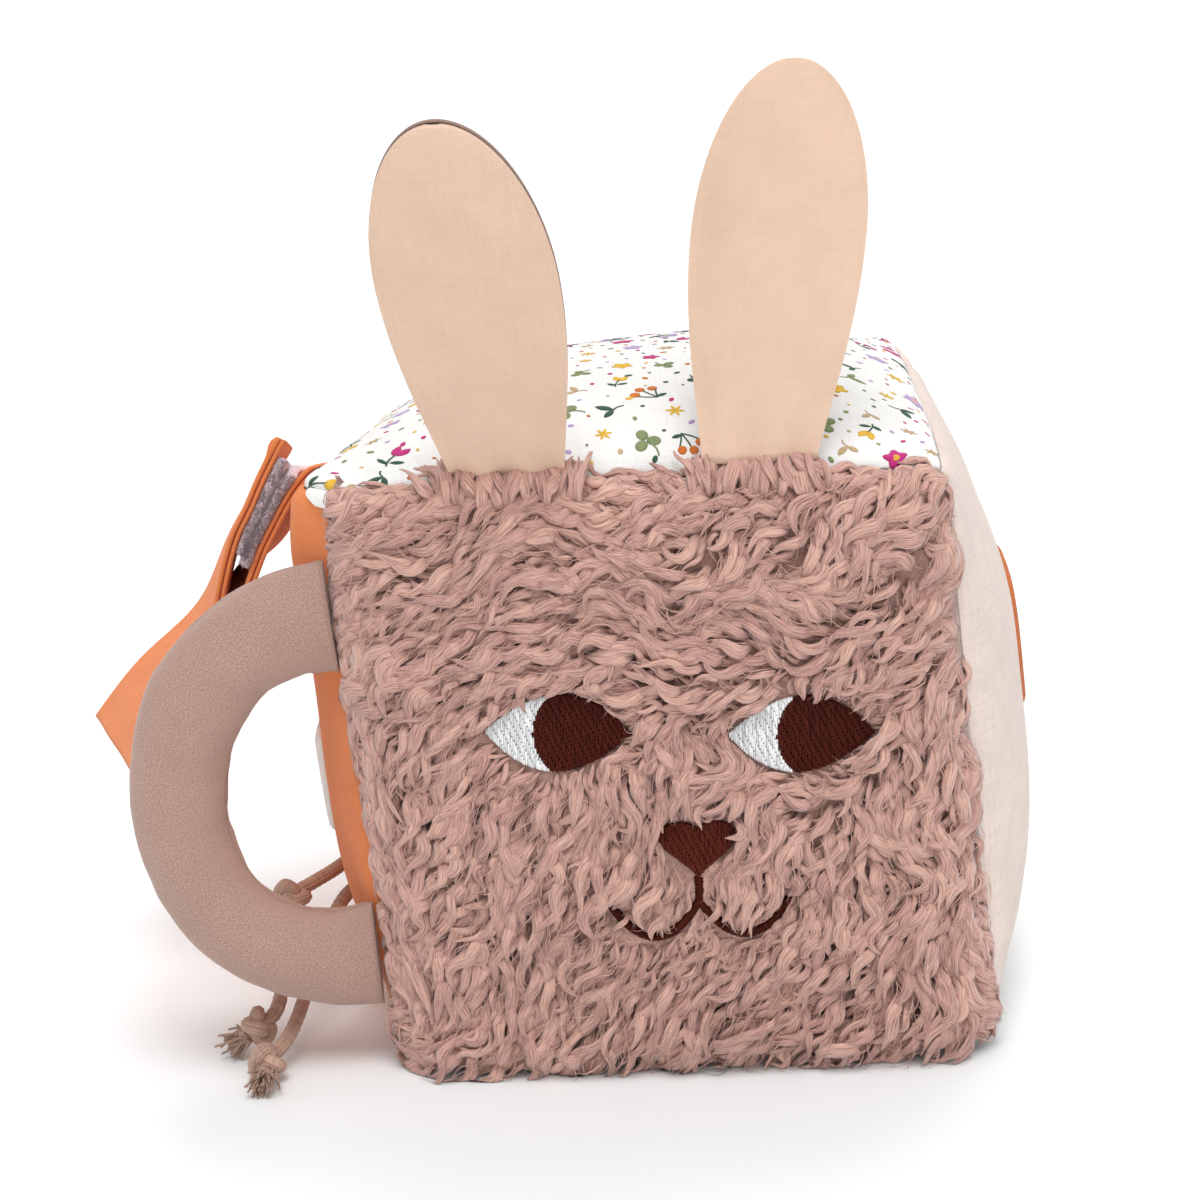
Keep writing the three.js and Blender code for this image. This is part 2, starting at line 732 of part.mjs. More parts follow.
// A point of the ear in its own frame: base on the ground, thickness along Y, front towards -Y
function earPoint(earLength, row, column, front, depth, inset) {
  const share = Math.sin(((row / earRows) * Math.PI) / 2) * earTopShare;
  const across = (column / earColumns) * 2 - 1;
  const tipFall = Math.min(1, (1 - share) / earTipTaperShare);
  const baseFall = earBasePuffShare + (1 - earBasePuffShare) * Math.min(1, share / earBaseTaperShare);
  const puff = earPuff * (1 - across ** 2) * Math.sqrt(tipFall) * baseFall;
  const thickness = clearance / 2 + clothThickness + puff - depth;
  const half = Math.max(earHalfWidth(share) - inset, earTipWidth / 2);
  return new THREE.Vector3(across * half, front * Math.max(thickness, 0), share * earLength);
}

// Where the ears are sewn in, just behind the seam between face and top
const earBaseHalf = clearance / 2 + clothThickness + earPuff * earBasePuffShare;
const earAlong = -halfDepth + earSetback;
const earSeatTurn = earAlong + earBaseHalf + halfDepth - edgeRadius;
const earSeatDrop = edgeRadius - Math.sqrt(edgeRadius ** 2 - earSeatTurn ** 2);
const earSeat = new THREE.Vector3(0, earAlong + earBaseHalf, halfHeight - earSeatDrop);
const earRise = soften(earSeat, 0).z + clearance * 2;

function addEar(side, earLength, middle, fold, splay) {
  const place = new THREE.Matrix4().makeTranslation(middle, earAlong, earRise)
    .multiply(new THREE.Matrix4().makeRotationX(fold * degree))
    .multiply(new THREE.Matrix4().makeShear(0, 0, 0, 0, Math.tan(splay * degree), 0));
  for (const [name, front, colour] of [['front', -1, colours.beige], ['back', 1, colours.taupe]]) {
    const outer = (row, column) => earPoint(earLength, row, column, front, 0, 0);
    const inner = (row, column) => {
      const point = earPoint(earLength, row, column, front, clothThickness, 0);
      point.y = front * Math.max(Math.abs(point.y), clearance / 2);
      return point;
    };
    const cover = closedSheet(earRows, earColumns, outer, inner);
    cover.applyMatrix4(place);
    addPiece(`ear_${side}_${name}`, cover, cloth(colour));
  }
  const crinkleInset = clothThickness * 2;
  const crinkleLengthShare = 1 - (crinkleInset * 2) / earLength;
  const filling = (front) => (row, column) => {
    const point = earPoint(earLength, row, column, front, clothThickness + clearance, crinkleInset);
    point.y = front * Math.max(Math.abs(point.y) - clearance / 2, crinkleRimThickness / 2);
    point.z = clothThickness + point.z * crinkleLengthShare;
    return point;
  };
  const crinkle = closedSheet(earRows, earColumns, filling(-1), filling(1));
  crinkle.applyMatrix4(place);
  addPiece(`ear_${side}_crinkle`, crinkle, plastic(colours.stuffing));
}

// Grab handle: a stuffed half ring that flattens into the seam at both ends

const handleCentre = new THREE.Vector3(-halfWidth - handleSeamOffset, -halfDepth + handleReach, handleRise);

function handlePoint(ringShare, angle, depth, halfOffset) {
  const startAngle = Math.asin((clearance * 2) / handleRadius);
  const turn = Math.PI / 2 + startAngle + ringShare * (Math.PI - startAngle * 2);
  const endward = Math.abs(ringShare * 2 - 1);
  const taper = Math.max(0, 1 - (1 - endward) / handleTaperShare) ** handleTaperPower;
  const halfThick = (handleThickness + (handleEndThickness - handleThickness) * taper) / 2;
  const halfBand = (handleBand / 2) * (1 + handleEndFlareShare * taper);
  const offTurn = (turn / degree - handleSagTurn) / handleSagSpread;
  const middleRadius = handleRadius + handleSag * Math.exp(-(offTurn ** 2));
  const radial = middleRadius + (halfBand - depth) * Math.cos(angle);
  const y = handleCentre.y + (halfThick - depth) * Math.sin(angle) + halfOffset;
  const x = handleCentre.x + radial * Math.cos(turn);
  const z = handleCentre.z + radial * Math.sin(turn);
  return new THREE.Vector3(x - leanShare * z, y, z);
}

function addHandle() {
  for (const [name, side] of [['front', -1], ['back', 1]]) {
    const surface = (depth) => (row, column) => handlePoint(
      row / handleRings, side * Math.PI * (column / handleAroundSteps), depth, (side * clearance) / 2,
    );
    const cover = closedSheet(handleRings, handleAroundSteps, surface(0), surface(clothThickness));
    addPiece(`handle_${name}_cover`, cover, cloth(colours.taupe));
  }
  const rings = [];
  for (let ring = 1; ring < handleRings; ring += 1) {
    const points = [];
    for (let side = 0; side < handleAroundSteps * 2; side += 1) {
      const angle = (side / handleAroundSteps) * Math.PI;
      points.push(handlePoint(ring / handleRings, angle, stuffingDepth + clearance / 2, 0));
    }
    rings.push(points);
  }
  addPiece('handle_stuffing', closedTube(rings), cloth(colours.stuffing));
}

// Folding flap: an inner leaf that hangs from the seam, and an outer leaf folded up against it

function flapCorner(out, along, rise) {
  return new THREE.Vector3(-halfWidth - out, along, rise);
}

const innerLeaf = {
  topFront: flapCorner(flapHingeFront.out, flapFront, flapHingeFront.rise),
  topBack: flapCorner(flapHingeBack.out, flapBack, flapHingeBack.rise),
  lowFront: flapCorner(flapFoldFront.out, flapFront, flapFoldFront.rise),
  lowBack: flapCorner(flapFoldBack.out, flapBack, flapFoldBack.rise),
};

// Both leaves curl in at their front edge, and are dented halfway down
function leafBend(backShare, lowShare) {
  const frontward = 1 - smoothShare(backShare / flapPeelShare);
  const curlStart = smoothShare((lowShare - leafCurl.startShare) / leafCurl.riseShare);
  const curlEnd = smoothShare((1 - lowShare) / (1 - leafCurl.endShare));
  const offDent = (lowShare - leafDent.placeShare) / leafDent.spreadShare;
  const dent = leafDent.depth * Math.exp(-(offDent ** 2)) * (1 - frontward);
  return leafCurl.depth * frontward * curlStart * curlEnd + dent;
}

// The inner leaf arches out of the seam, less so at its front edge and towards its back
function innerBulge(backShare, lowShare) {
  const frontward = 1 - smoothShare(backShare / flapPeelShare);
  const backward = smoothShare((backShare - flapPeelShare) / (1 - flapPeelShare));
  const ridgeShare = 1 - innerArch.peelShare * frontward - innerArch.fallShare * backward;
  const rise = 1 - Math.exp(-Math.max(lowShare, 0) / innerArch.riseShare);
  return innerArch.height * ridgeShare * rise * (1 - lowShare) - leafBend(backShare, lowShare);
}

function outerBulge(backShare, lowShare) {
  const arch = Math.sin(Math.PI * Math.max(lowShare, 0) ** outerArch.power) * (1 - backShare);
  return outerArch.height * arch - leafBend(backShare, lowShare);
}

function unbent() {
  return 0;
}

function leafPoint(leaf, bulge, backShare, lowShare, depth) {
  const top = leaf.topFront.clone().lerp(leaf.topBack, backShare);
  const low = leaf.lowFront.clone().lerp(leaf.lowBack, backShare);
  const point = top.clone().lerp(low, lowShare);
  const across = leaf.topBack.clone().sub(leaf.topFront).add(leaf.lowBack).sub(leaf.lowFront);
  const down = low.clone().sub(top);
  const outward = new THREE.Vector3().crossVectors(across, down).normalize();
  return point.addScaledVector(outward, depth + bulge(backShare, lowShare));
}

// The outer leaf lies off the inner one by the fold's gap below and the mouth's opening above
const leafThickness = leafClothThickness * 2 + clearance;
const leafLength = innerLeaf.topFront.distanceTo(innerLeaf.lowFront);
const outerTopOffset = flapOpening + leafThickness + tapeThickness;
const outerFoldOffset = flapFoldGap + leafThickness;
const outerLeaf = {
  topFront: leafPoint(innerLeaf, unbent, 0, -flapLip / leafLength, outerTopOffset),
  topBack: leafPoint(innerLeaf, unbent, 1, 0, outerTopOffset),
  lowFront: leafPoint(innerLeaf, unbent, 0, 1, outerFoldOffset),
  lowBack: leafPoint(innerLeaf, unbent, 1, 1, outerFoldOffset),
};
const backDroop = new THREE.Vector3(-flapDroop.out, 0, -flapDroop.fall);
outerLeaf.topBack.add(backDroop);

function evenShares(first, last, count) {
  return Array.from({ length: count + 1 }, (_, index) => first + ((last - first) * index) / count);
}

// A leaf's facets break along its tape's edges, so that cloth and tape lie flat on each other
const tapeStartShare = tapeMargin / leafLength;
const tapeEndShare = (tapeMargin + tapeWidth) / leafLength;
const tapeMarginShare = tapeMargin / (flapBack - flapFront);
const tapeRowShares = evenShares(tapeStartShare, tapeEndShare, leafTapeRows);
const tapeColumnShares = evenShares(tapeMarginShare, 1 - tapeMarginShare, leafTapeColumns);
const lowRowShares = evenShares(tapeEndShare, 1, leafLowRows).slice(1);
const leafRowShares = [0, ...tapeRowShares, ...lowRowShares];
const leafColumnShares = [0, ...tapeColumnShares, 1];

function leafSheet(leaf, bulge, from, to, rowShares, columnShares) {
  const surface = (depth) => (row, column) => (
    leafPoint(leaf, bulge, columnShares[column], rowShares[row], depth)
  );
  return closedSheet(rowShares.length - 1, columnShares.length - 1, surface(to), surface(from));
}

function leafCloth(leaf, bulge, from) {
  return leafSheet(leaf, bulge, from, from + leafClothThickness, leafRowShares, leafColumnShares);
}

function leafTape(leaf, bulge, from) {
  return leafSheet(leaf, bulge, from, from + flapTapeThickness, tapeRowShares, tapeColumnShares);
}

function addFlap() {
  const inward = leafClothThickness + clearance;
  addPiece('flap_inner_lining', leafCloth(innerLeaf, innerBulge, 0), cloth(colours.orange));
  addPiece('flap_inner_leaf', leafCloth(innerLeaf, innerBulge, inward), cloth(colours.orange));
  const loop = leafTape(innerLeaf, innerBulge, leafThickness + clearance);
  addPiece('flap_loop_tape', loop, cloth(colours.lilac));

  addPiece('flap_outer_leaf', leafCloth(outerLeaf, outerBulge, inward), cloth(colours.orange));
  addPiece('flap_outer_lining', leafCloth(outerLeaf, outerBulge, 0), cloth(colours.orange));
  const hook = leafTape(outerLeaf, outerBulge, -clearance - flapTapeThickness);
  addPiece('flap_hook_tape', hook, cloth(colours.lilac));
}

// Cords: two strands that leave the left side through stitched eyelets and end in knots

const cordRadius = cordDiameter / 2;

// Each route starts in its eyelet's cloth and runs into the middle of its knots
const middleKnotPoint = [-96.6, -33.5, 31.3];
const upperKnotPoint = [-103.2, -58, 8.2];
const lowerKnotPoint = [-99.9, -71, 4.75];
const upperRoute = [
  [-83.2, -5.2, 30.9], [-85.3, -9, 31.2], [-86.6, -12.5, 31.5], [-88, -17, 31.8], [-89.8, -22, 32.1],
  [-92.6, -27.5, 32.1], middleKnotPoint, [-99.2, -38.5, 27.2], [-99.4, -42.5, 22.2], [-98.9, -46.5, 16.9],
  [-98.7, -50.5, 12.7], [-100, -54.5, 9.6], upperKnotPoint,
];
const lowerRoute = [
  [-80.6, -1.5, 22.4], [-82, -5, 23.2], [-84, -9.5, 24.4], [-85.7, -17, 25], [-86.9, -22, 24.6],
  [-88.3, -28, 23.1], [-89.8, -34, 20.6], [-91.2, -39, 17.8], [-92.3, -44, 14.8], [-93.1, -49.5, 12],
  [-94, -55, 9.6], [-95.3, -60.5, 7.5], [-97.1, -65, 5.9], lowerKnotPoint,
];
const knotPlaces = {
  cord_middle_knot: { at: middleKnotPoint, toward: [-0.5, -0.4, -0.7], fray: false },
  cord_upper_knot: { at: upperKnotPoint, toward: [-0.8, 0.1, -0.5], fray: true },
  cord_lower_knot: { at: lowerKnotPoint, toward: [0, -0.98, -0.19], fray: true },
};
const strands = [
  { route: upperRoute, stretches: ['cord_upper', 'cord_upper_end'], eyelet: 'cord_upper_eyelet' },
  { route: lowerRoute, stretches: ['cord_lower'], eyelet: 'cord_lower_eyelet' },
];

function cordTube(route) {
  const path = new THREE.CatmullRomCurve3(route.map((point) => new THREE.Vector3(...point)));
  const section = new THREE.Shape();
  for (let side = 0; side < cordSides; side += 1) {
    const angle = (side / cordSides) * Math.PI * 2;
    const x = cordRadius * Math.cos(angle);
    const y = cordRadius * Math.sin(angle);
    if (side === 0) section.moveTo(x, y);
    else section.lineTo(x, y);
  }
  section.closePath();
  const rings = Math.round(path.getLength() / (cordDiameter * 2));
  const options = { steps: rings, extrudePath: path, bevelEnabled: false };
  return toSolid(new THREE.ExtrudeGeometry(section, options));
}

// A pulled-tight knot, grown by a margin: crossing wraps round a core, with the cord's frayed end
function knotSolid(place, margin) {
  const wrapRadius = knotDiameter / 2 - cordRadius;
  const wrapThickness = cordRadius + margin;
  const coreRadius = wrapRadius + cordRadius / 2 + margin;
  let solid = toSolid(new THREE.SphereGeometry(coreRadius, knotSides.core, knotSides.coreRows));
  for (const turn of [0, 1]) {
    const wrap = new THREE.TorusGeometry(wrapRadius, wrapThickness, knotSides.wrap, knotSides.wrapSteps);
    wrap.rotateX(turn * knotTilt * degree);
    wrap.rotateY(turn * knotTurn * degree);
    solid = solid.add(toSolid(wrap));
  }
  if (place.fray) {
    const frayRadius = frayDiameter / 2 + margin;
    const fray = new THREE.CylinderGeometry(frayRadius, wrapThickness, frayLength, knotSides.fray);
    fray.translate(0, knotDiameter / 2 + frayLength / 2 - cordRadius, 0);
    const toward = new THREE.Vector3(...place.toward).normalize();
    fray.applyQuaternion(new THREE.Quaternion().setFromUnitVectors(new THREE.Vector3(0, 1, 0), toward));
    solid = solid.add(toSolid(fray));
  }
  return solid.translate(place.at);
}

function eyeletSolid(route, margin) {
  const [, along, rise] = route[1];
  const half = eyeletDiameter / 2 + margin;
  const discPoint = (riseShare, sideShare) => [
    along + roundedPlace(sideShare, riseShare, half, 2),
    rise + roundedPlace(riseShare, sideShare, half, 2),
  ];
  const steps = patchSteps.eyelet;
  return patchSolid(faces.left, steps, steps, discPoint, () => eyeletThickness + margin);
}

// A strand is cut free of its eyelet and knots, which leaves its open stretches
function addCords() {
  const grownKnots = Object.values(knotPlaces).map((place) => knotSolid(place, clearance));
  for (const strand of strands) {
    let tube = cordTube(strand.route).subtract(clothSeat).subtract(eyeletSolid(strand.route, clearance));
    grownKnots.forEach((knot) => {
      tube = tube.subtract(knot);
    });
    const longest = tube.decompose().sort((a, b) => b.volume() - a.volume());
    const stretches = longest.slice(0, strand.stretches.length);
    stretches.sort((a, b) => b.boundingBox().max[1] - a.boundingBox().max[1]);
    stretches.forEach((stretch, index) => {
      addPiece(strand.stretches[index], toGeometry(stretch), cloth(colours.cord));
    });
    const eyelet = largestPart(eyeletSolid(strand.route, 0).subtract(clothSeat));
    addPiece(strand.eyelet, toGeometry(eyelet), cloth(colours.terracotta));
  }
  for (const [name, place] of Object.entries(knotPlaces)) {
    addPiece(name, toGeometry(knotSolid(place, 0)), cloth(colours.cord));
  }
}

addStuffing();
addRattle();
addFace();
addPanels();
addSidePatches();
addEar('left', leftEarLength, earMiddle - earSpacing / 2, leftEarFold, -leftEarSplay);
addEar('right', rightEarLength, earMiddle + earSpacing / 2, rightEarFold, rightEarSplay);
addHandle();
addFlap();
addCords();

export default model;
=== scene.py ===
import itertools
import math

import bpy
import numpy as np
from mathutils import Matrix, Vector


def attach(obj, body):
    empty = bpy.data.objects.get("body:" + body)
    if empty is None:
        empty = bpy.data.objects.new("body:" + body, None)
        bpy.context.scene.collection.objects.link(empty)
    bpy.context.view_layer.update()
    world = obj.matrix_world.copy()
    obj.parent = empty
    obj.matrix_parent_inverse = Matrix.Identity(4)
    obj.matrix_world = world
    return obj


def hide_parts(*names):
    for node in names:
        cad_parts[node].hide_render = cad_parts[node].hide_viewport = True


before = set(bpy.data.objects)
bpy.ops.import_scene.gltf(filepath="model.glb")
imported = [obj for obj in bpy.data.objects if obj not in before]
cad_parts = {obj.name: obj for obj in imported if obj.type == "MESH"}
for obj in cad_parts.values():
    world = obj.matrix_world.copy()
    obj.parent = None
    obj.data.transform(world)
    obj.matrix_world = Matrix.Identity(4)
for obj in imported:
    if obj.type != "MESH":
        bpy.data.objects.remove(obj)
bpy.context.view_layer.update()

# Shared clearances and cloth
clearance = 0.00035
cloth_thickness = 0.0013

# Cloth block, measured between its seams
half_width = 0.069
half_depth = 0.067
half_height = 0.067
seam_rise = 0.0045
edge_radius = 0.005
left_swell = 0.015
right_swell = 0.017
top_swell = 0.0165
front_swell = 0.010
back_swell = 0.015
left_shoulder = {"swell": 0.008, "start": 0.0028, "run": 0.012, "place": -0.057, "spread": 0.030}
flattening = 0.0005
lean_share = 0.06
sag_share = 0.15
top_twist = 0.0065
swell_power = 3
base_power = 6
middle_rise = seam_rise + half_height

# Embroidery over the face's cloth
embroidery_rise = 0.0031

# Eyes, heart nose and stitched mouth
eye_width = 0.032
eye_height = 0.0175
eye_slant = 0.0025
eye_rise = 0.083
eye_tilt_share = -0.05
eye_middles = {"left": -0.02745, "right": 0.02555}
pupil_radius = 0.0113
pupil_shift = 0.006
nose_width = 0.017
nose_height = 0.0135
nose_rise = 0.0495
nose_shift = 0.002
philtrum_length = 0.0055
mouth_width = 0.040
mouth_drop = 0.0085
stitch_width = 0.0016

# Ears
ear_width = 0.038
ear_base_width = 0.025
ear_tip_width = 0.0026
ear_puff = 0.0032
ear_widest_share = 0.56
ear_base_puff_share = 0.12
ear_base_taper_share = 0.4
ear_tip_taper_share = 0.25
ear_top_share = 0.9985
ear_flare_power = 1.15
ear_along = -0.0663
ear_rise = 0.14045
ear_places = {
    "left": {"middle": -0.0359, "fold": 26, "splay": -5, "length": 0.088},
    "right": {"middle": 0.0190, "fold": -8, "splay": 7, "length": 0.086},
}

# Grab handle
handle_radius = 0.039
handle_sag = 0.0068
handle_sag_turn = 228
handle_sag_spread = 42
handle_band = 0.0225
handle_thickness = 0.015
handle_end_thickness = 0.0042
handle_taper_share = 0.38
handle_end_flare_share = 0.14
handle_taper_power = 1.4
handle_centre = Vector((-0.070, -0.0661, 0.0705))

# Folding side flap
flap_front = -0.035
flap_back = 0.020
flap_corners = {
    "top_front": Vector((-0.0816, flap_front, 0.136)),
    "top_back": Vector((-0.0776, flap_back, 0.133)),
    "low_front": Vector((-0.128, flap_front, 0.0625)),
    "low_back": Vector((-0.1495, flap_back, 0.059)),
}
flap_opening = 0.0065
flap_fold_gap = 0.0006
leaf_cloth_thickness = 0.0011
flap_lip = 0.0055
hem_share = 0.5
flap_droop = Vector((-0.0075, 0, -0.003))
inner_arch = {"height": 0.0049, "rise_share": 0.05, "peel_share": 0.5, "fall_share": 0.55}
outer_arch = {"height": 0.001, "power": 0.6}
flap_peel_share = 0.3
leaf_curl = {"depth": 0.0035, "start_share": 0.25, "rise_share": 0.3, "end_share": 0.6}
hinge_sink = 0.003
leaf_belly = {"depth": 0.0046, "start_share": 0.22, "run_share": 0.35}
leaf_dent = {"depth": 0.005, "place_share": 0.53, "spread_share": 0.2}
flap_mat_thickness = 0.0027
nap_hair = {"count": 700, "reach": 0.0009, "radius": 0.00006}
tape_width = 0.025
tape_thickness = 0.0012
tape_margin = 0.004

# Patches sewn to the sides
side_patch = {
    "width": 0.040, "height": 0.027, "rise": 0.057, "along": -0.008, "thickness": 0.0022, "rim": 0.0009,
}
side_tape = {"width": 0.044, "height": 0.020, "rise": 0.116, "along": -0.019}
corner_cloth = {"width": 0.009, "height": 0.0034, "thickness": 0.0006}
applique = {"radius": 0.020, "rise": 0.0805, "along": 0.0045, "thickness": 0.001}

# Cords
cord_diameter = 0.0033
knot_diameter = 0.0092
eyelet_diameter = 0.0076

# The photograph's camera
camera_azimuth = math.radians(2.382)
camera_elevation = math.radians(14.86)
camera_roll = math.radians(-3)
camera_distance = 0.650
camera_target = Vector((-0.020, 0, 0.09314))
focal_pixels = 2627.1
picture_pixels = 1200
sensor_width = 36


def add_camera():
    """The camera at the photograph's viewing angle."""
    data = bpy.data.cameras.new("photo_camera")
    data.sensor_width = sensor_width
    data.lens = focal_pixels * sensor_width / picture_pixels
    data.clip_start = camera_distance / 100
    data.clip_end = camera_distance * 100
    camera = bpy.data.objects.new("photo_camera", data)
    bpy.context.scene.collection.objects.link(camera)
    level = math.cos(camera_elevation)
    across, toward = math.sin(camera_azimuth) * level, -math.cos(camera_azimuth) * level
    back = Vector((across, toward, math.sin(camera_elevation)))
    side = back.cross(Vector((0, 0, 1))).normalized() * -1
    rise = back.cross(side)
    right = side * math.cos(camera_roll) + rise * math.sin(camera_roll)
    up = rise * math.cos(camera_roll) - side * math.sin(camera_roll)
    place = camera_target + back * camera_distance
    camera.matrix_world = Matrix((right, up, back)).transposed().to_4x4()
    camera.location = place
    bpy.context.scene.camera = camera


# Mesh helpers


def ripple(points, size, seed):
    """Smooth noise from -1 to 1 with waves of about the given size."""
    count = 32
    lattice = np.random.default_rng(seed).uniform(-1, 1, (count, count, count))
    cells = np.atleast_2d(points) / size
    base = np.floor(cells).astype(int)
    part = cells - base
    part = part * part * (3 - 2 * part)
    total = np.zeros(len(cells))
    for corner in itertools.product((0, 1), repeat=3):
        weight = np.prod(np.where(corner, part, 1 - part), axis=1)
        index = (base + corner) % count
        total += weight * lattice[index[:, 0], index[:, 1], index[:, 2]]
    return total


def line_ripple(places, size, seed):
    """The same noise along a line."""
    places = np.asarray(places, float)
    points = np.zeros((places.size, 3))
    points[:, 0] = places.ravel()
    return ripple(points, size, seed).reshape(places.shape)


def ease(share):
    """A smooth step from 0 to 1."""
    share = np.clip(share, 0, 1)
    return share * share * (3 - 2 * share)


def unit(vectors):
    """Vectors at length one."""
    vectors = np.asarray(vectors, float)
    return vectors / np.maximum(np.linalg.norm(vectors, axis=-1, keepdims=True), 1e-12)


def grid_quads(rows, columns, closed=False):
    """Faces of a grid of rows x columns points. A closed grid joins its last column to its first."""
    steps = columns if closed else columns - 1
    grids = np.meshgrid(np.arange(rows - 1), np.arange(steps), indexing="ij")
    row, column = (grid.ravel() for grid in grids)
    beside = (column + 1) % columns
    return np.stack([
        row * columns + column, row * columns + beside,
        (row + 1) * columns + beside, (row + 1) * columns + column,
    ], axis=1)


def closed_ends(rows, columns):
    """Faces of a closed grid of rings with a hub at each end, the hubs coming last."""
    around = np.arange(columns)
    beyond = (around + 1) % columns
    base, hub = (rows - 1) * columns, np.full(columns, rows * columns)
    return np.concatenate([
        grid_quads(rows, columns, closed=True),
        np.stack([beyond, around, hub, hub], axis=1),
        np.stack([base + around, base + beyond, hub + 1, hub + 1], axis=1),
    ])


def facing_out(points, quads):
    """The faces turned so that a closed mesh holds a positive volume."""
    a, b, c, d = (points[quads[:, corner]] for corner in range(4))
    volume = (a * (np.cross(b, c) + np.cross(c, d))).sum()
    return quads if volume > 0 else quads[:, [1, 0, 3, 2]]


def both_sides(values):
    """The same values for the outer and for the inner grid of a slab."""
    return np.concatenate([values, values])


def run_lengths(line):
    """How far along a line each of its points lies."""
    return np.concatenate([[0], np.cumsum(np.linalg.norm(np.diff(line, axis=0), axis=1))])


def slab(outer, inner):
    """A closed slab between two grids of points of the same shape."""
    rows, columns = outer.shape[:2]
    quads = grid_quads(rows, columns)
    size = rows * columns
    index = np.arange(size).reshape(rows, columns)
    rim = np.concatenate([index[0, :-1], index[:-1, -1], index[-1, :0:-1], index[:0:-1, 0]])
    following = np.roll(rim, -1)
    walls = np.stack([following, rim, rim + size, following + size], axis=1)
    points = np.concatenate([outer.reshape(-1, 3), inner.reshape(-1, 3)])
    quads = np.concatenate([quads, quads[:, ::-1] + size, walls])
    return points, facing_out(points, quads)


def joined(parts):
    """Several (points, quads, marks) joined into one. Marks are rows of three numbers, one row a point."""
    offset = 0
    points, quads, marks = [], [], []
    for part_points, part_quads, part_marks in parts:
        points.append(part_points)
        quads.append(part_quads + offset)
        marks.append(part_marks)
        offset += len(part_points)
    return np.concatenate(points), np.concatenate(quads), np.concatenate(marks)


def add_piece(name, points, quads, material, body, replaces=(), marks=None, depths=None):
    """A smooth mesh piece that rides on a body. A quad whose last two corners agree is a triangle."""
    corners = np.ones(quads.shape, bool)
    corners[:, 3] = quads[:, 2] != quads[:, 3]
    starts = np.concatenate([[0], np.cumsum(corners.sum(axis=1))[:-1]])
    loops = quads[corners]
    mesh = bpy.data.meshes.new(name)
    mesh.vertices.add(len(points))
    mesh.vertices.foreach_set("co", np.ascontiguousarray(points, np.float32).ravel())
    mesh.loops.add(len(loops))
    mesh.loops.foreach_set("vertex_index", np.ascontiguousarray(loops, np.int32))
    mesh.polygons.add(len(quads))
    mesh.polygons.foreach_set("loop_start", np.ascontiguousarray(starts, np.int32))
    mesh.update(calc_edges=True)
    if marks is not None:
        attribute = mesh.attributes.new("place", "FLOAT_VECTOR", "POINT")
        attribute.data.foreach_set("vector", np.ascontiguousarray(marks, np.float32).ravel())
    # depths: each point's share of painted shade in the plush, low for the darkest.
    if depths is not None:
        attribute = mesh.attributes.new("share", "FLOAT", "POINT")
        attribute.data.foreach_set("value", np.ascontiguousarray(depths, np.float32).ravel())
    mesh.polygons.foreach_set("use_smooth", np.ones(len(mesh.polygons), bool))
    mesh.materials.append(material)
    piece = bpy.data.objects.new(name, mesh)
    bpy.context.scene.collection.objects.link(piece)
    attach(piece, body)
    if replaces:
        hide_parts(*replaces)
    return piece


def tube(path, radius, sides, flatten=1, seed_direction=(0, 0, 1)):
    """A closed tube along a path, of one radius or of one for each point."""
    path = np.asarray(path, float)
    radius = np.broadcast_to(np.asarray(radius, float), (len(path),))
    tangent = unit(np.gradient(path, axis=0))
    normal = np.zeros_like(path)
    last = np.asarray(seed_direction, float)
    for index, direction in enumerate(tangent):
        last = last - direction * (last @ direction)
        last = last / max(np.linalg.norm(last), 1e-9)
        normal[index] = last
    side = np.cross(tangent, normal)
    length = run_lengths(path)
    angle = np.arange(sides) * 2 * math.pi / sides
    reach = np.repeat(radius[:, None], sides, axis=1)
    points = path[:, None, :] + reach[..., None] * (
        np.cos(angle)[None, :, None] * side[:, None, :]
        + flatten * np.sin(angle)[None, :, None] * normal[:, None, :]
    )
    marks = np.stack([
        np.broadcast_to(angle / (2 * math.pi), reach.shape),
        np.broadcast_to(length[:, None], reach.shape),
        np.zeros(reach.shape),
    ], axis=-1)
    points = np.concatenate([points.reshape(-1, 3), path[[0, -1]]])
    marks = np.concatenate([marks.reshape(-1, 3), [[0, 0, 0], [0, length[-1], 0]]])
    return points, facing_out(points, closed_ends(len(path), sides)), marks


def smooth_path(points, count):
    """A Catmull-Rom curve through points, given at even steps along its length."""
    points = np.asarray(points, float)
    padded = np.concatenate([[2 * points[0] - points[1]], points, [2 * points[-1] - points[-2]]])
    fine = []
    steps = np.linspace(0, 1, 24, endpoint=False)[:, None]
    for index in range(1, len(padded) - 2):
        a, b, c, d = padded[index - 1:index + 3]
        fine.append(0.5 * (
            2 * b + (c - a) * steps + (2 * a - 5 * b + 4 * c - d) * steps ** 2
            + (3 * b - a - 3 * c + d) * steps ** 3
        ))
    fine = np.concatenate(fine + [points[-1:]])
    length = run_lengths(fine)
    even = np.linspace(0, length[-1], count)
    return np.stack([np.interp(even, length, fine[:, axis]) for axis in range(3)], axis=1)


# Materials


def node(tree, kind, inputs=None, **settings):
    """A shader node. An input that is a socket is linked, and any other is set."""
    made = tree.nodes.new(kind)
    for key, value in settings.items():
        setattr(made, key, value)
    for key, value in (inputs or {}).items():
        if isinstance(value, bpy.types.NodeSocket):
            tree.links.new(value, made.inputs[key])
        else:
            made.inputs[key].default_value = value
    return made


def math_node(tree, operation, first, second=0.0):
    """The result of a sum or function of two values."""
    return node(tree, "ShaderNodeMath", {0: first, 1: second}, operation=operation).outputs[0]


def mixed(tree, factor, first, second):
    """A colour between two colours."""
    made = node(tree, "ShaderNodeMix", {0: factor, 6: first, 7: second}, data_type="RGBA")
    return made.outputs[2]


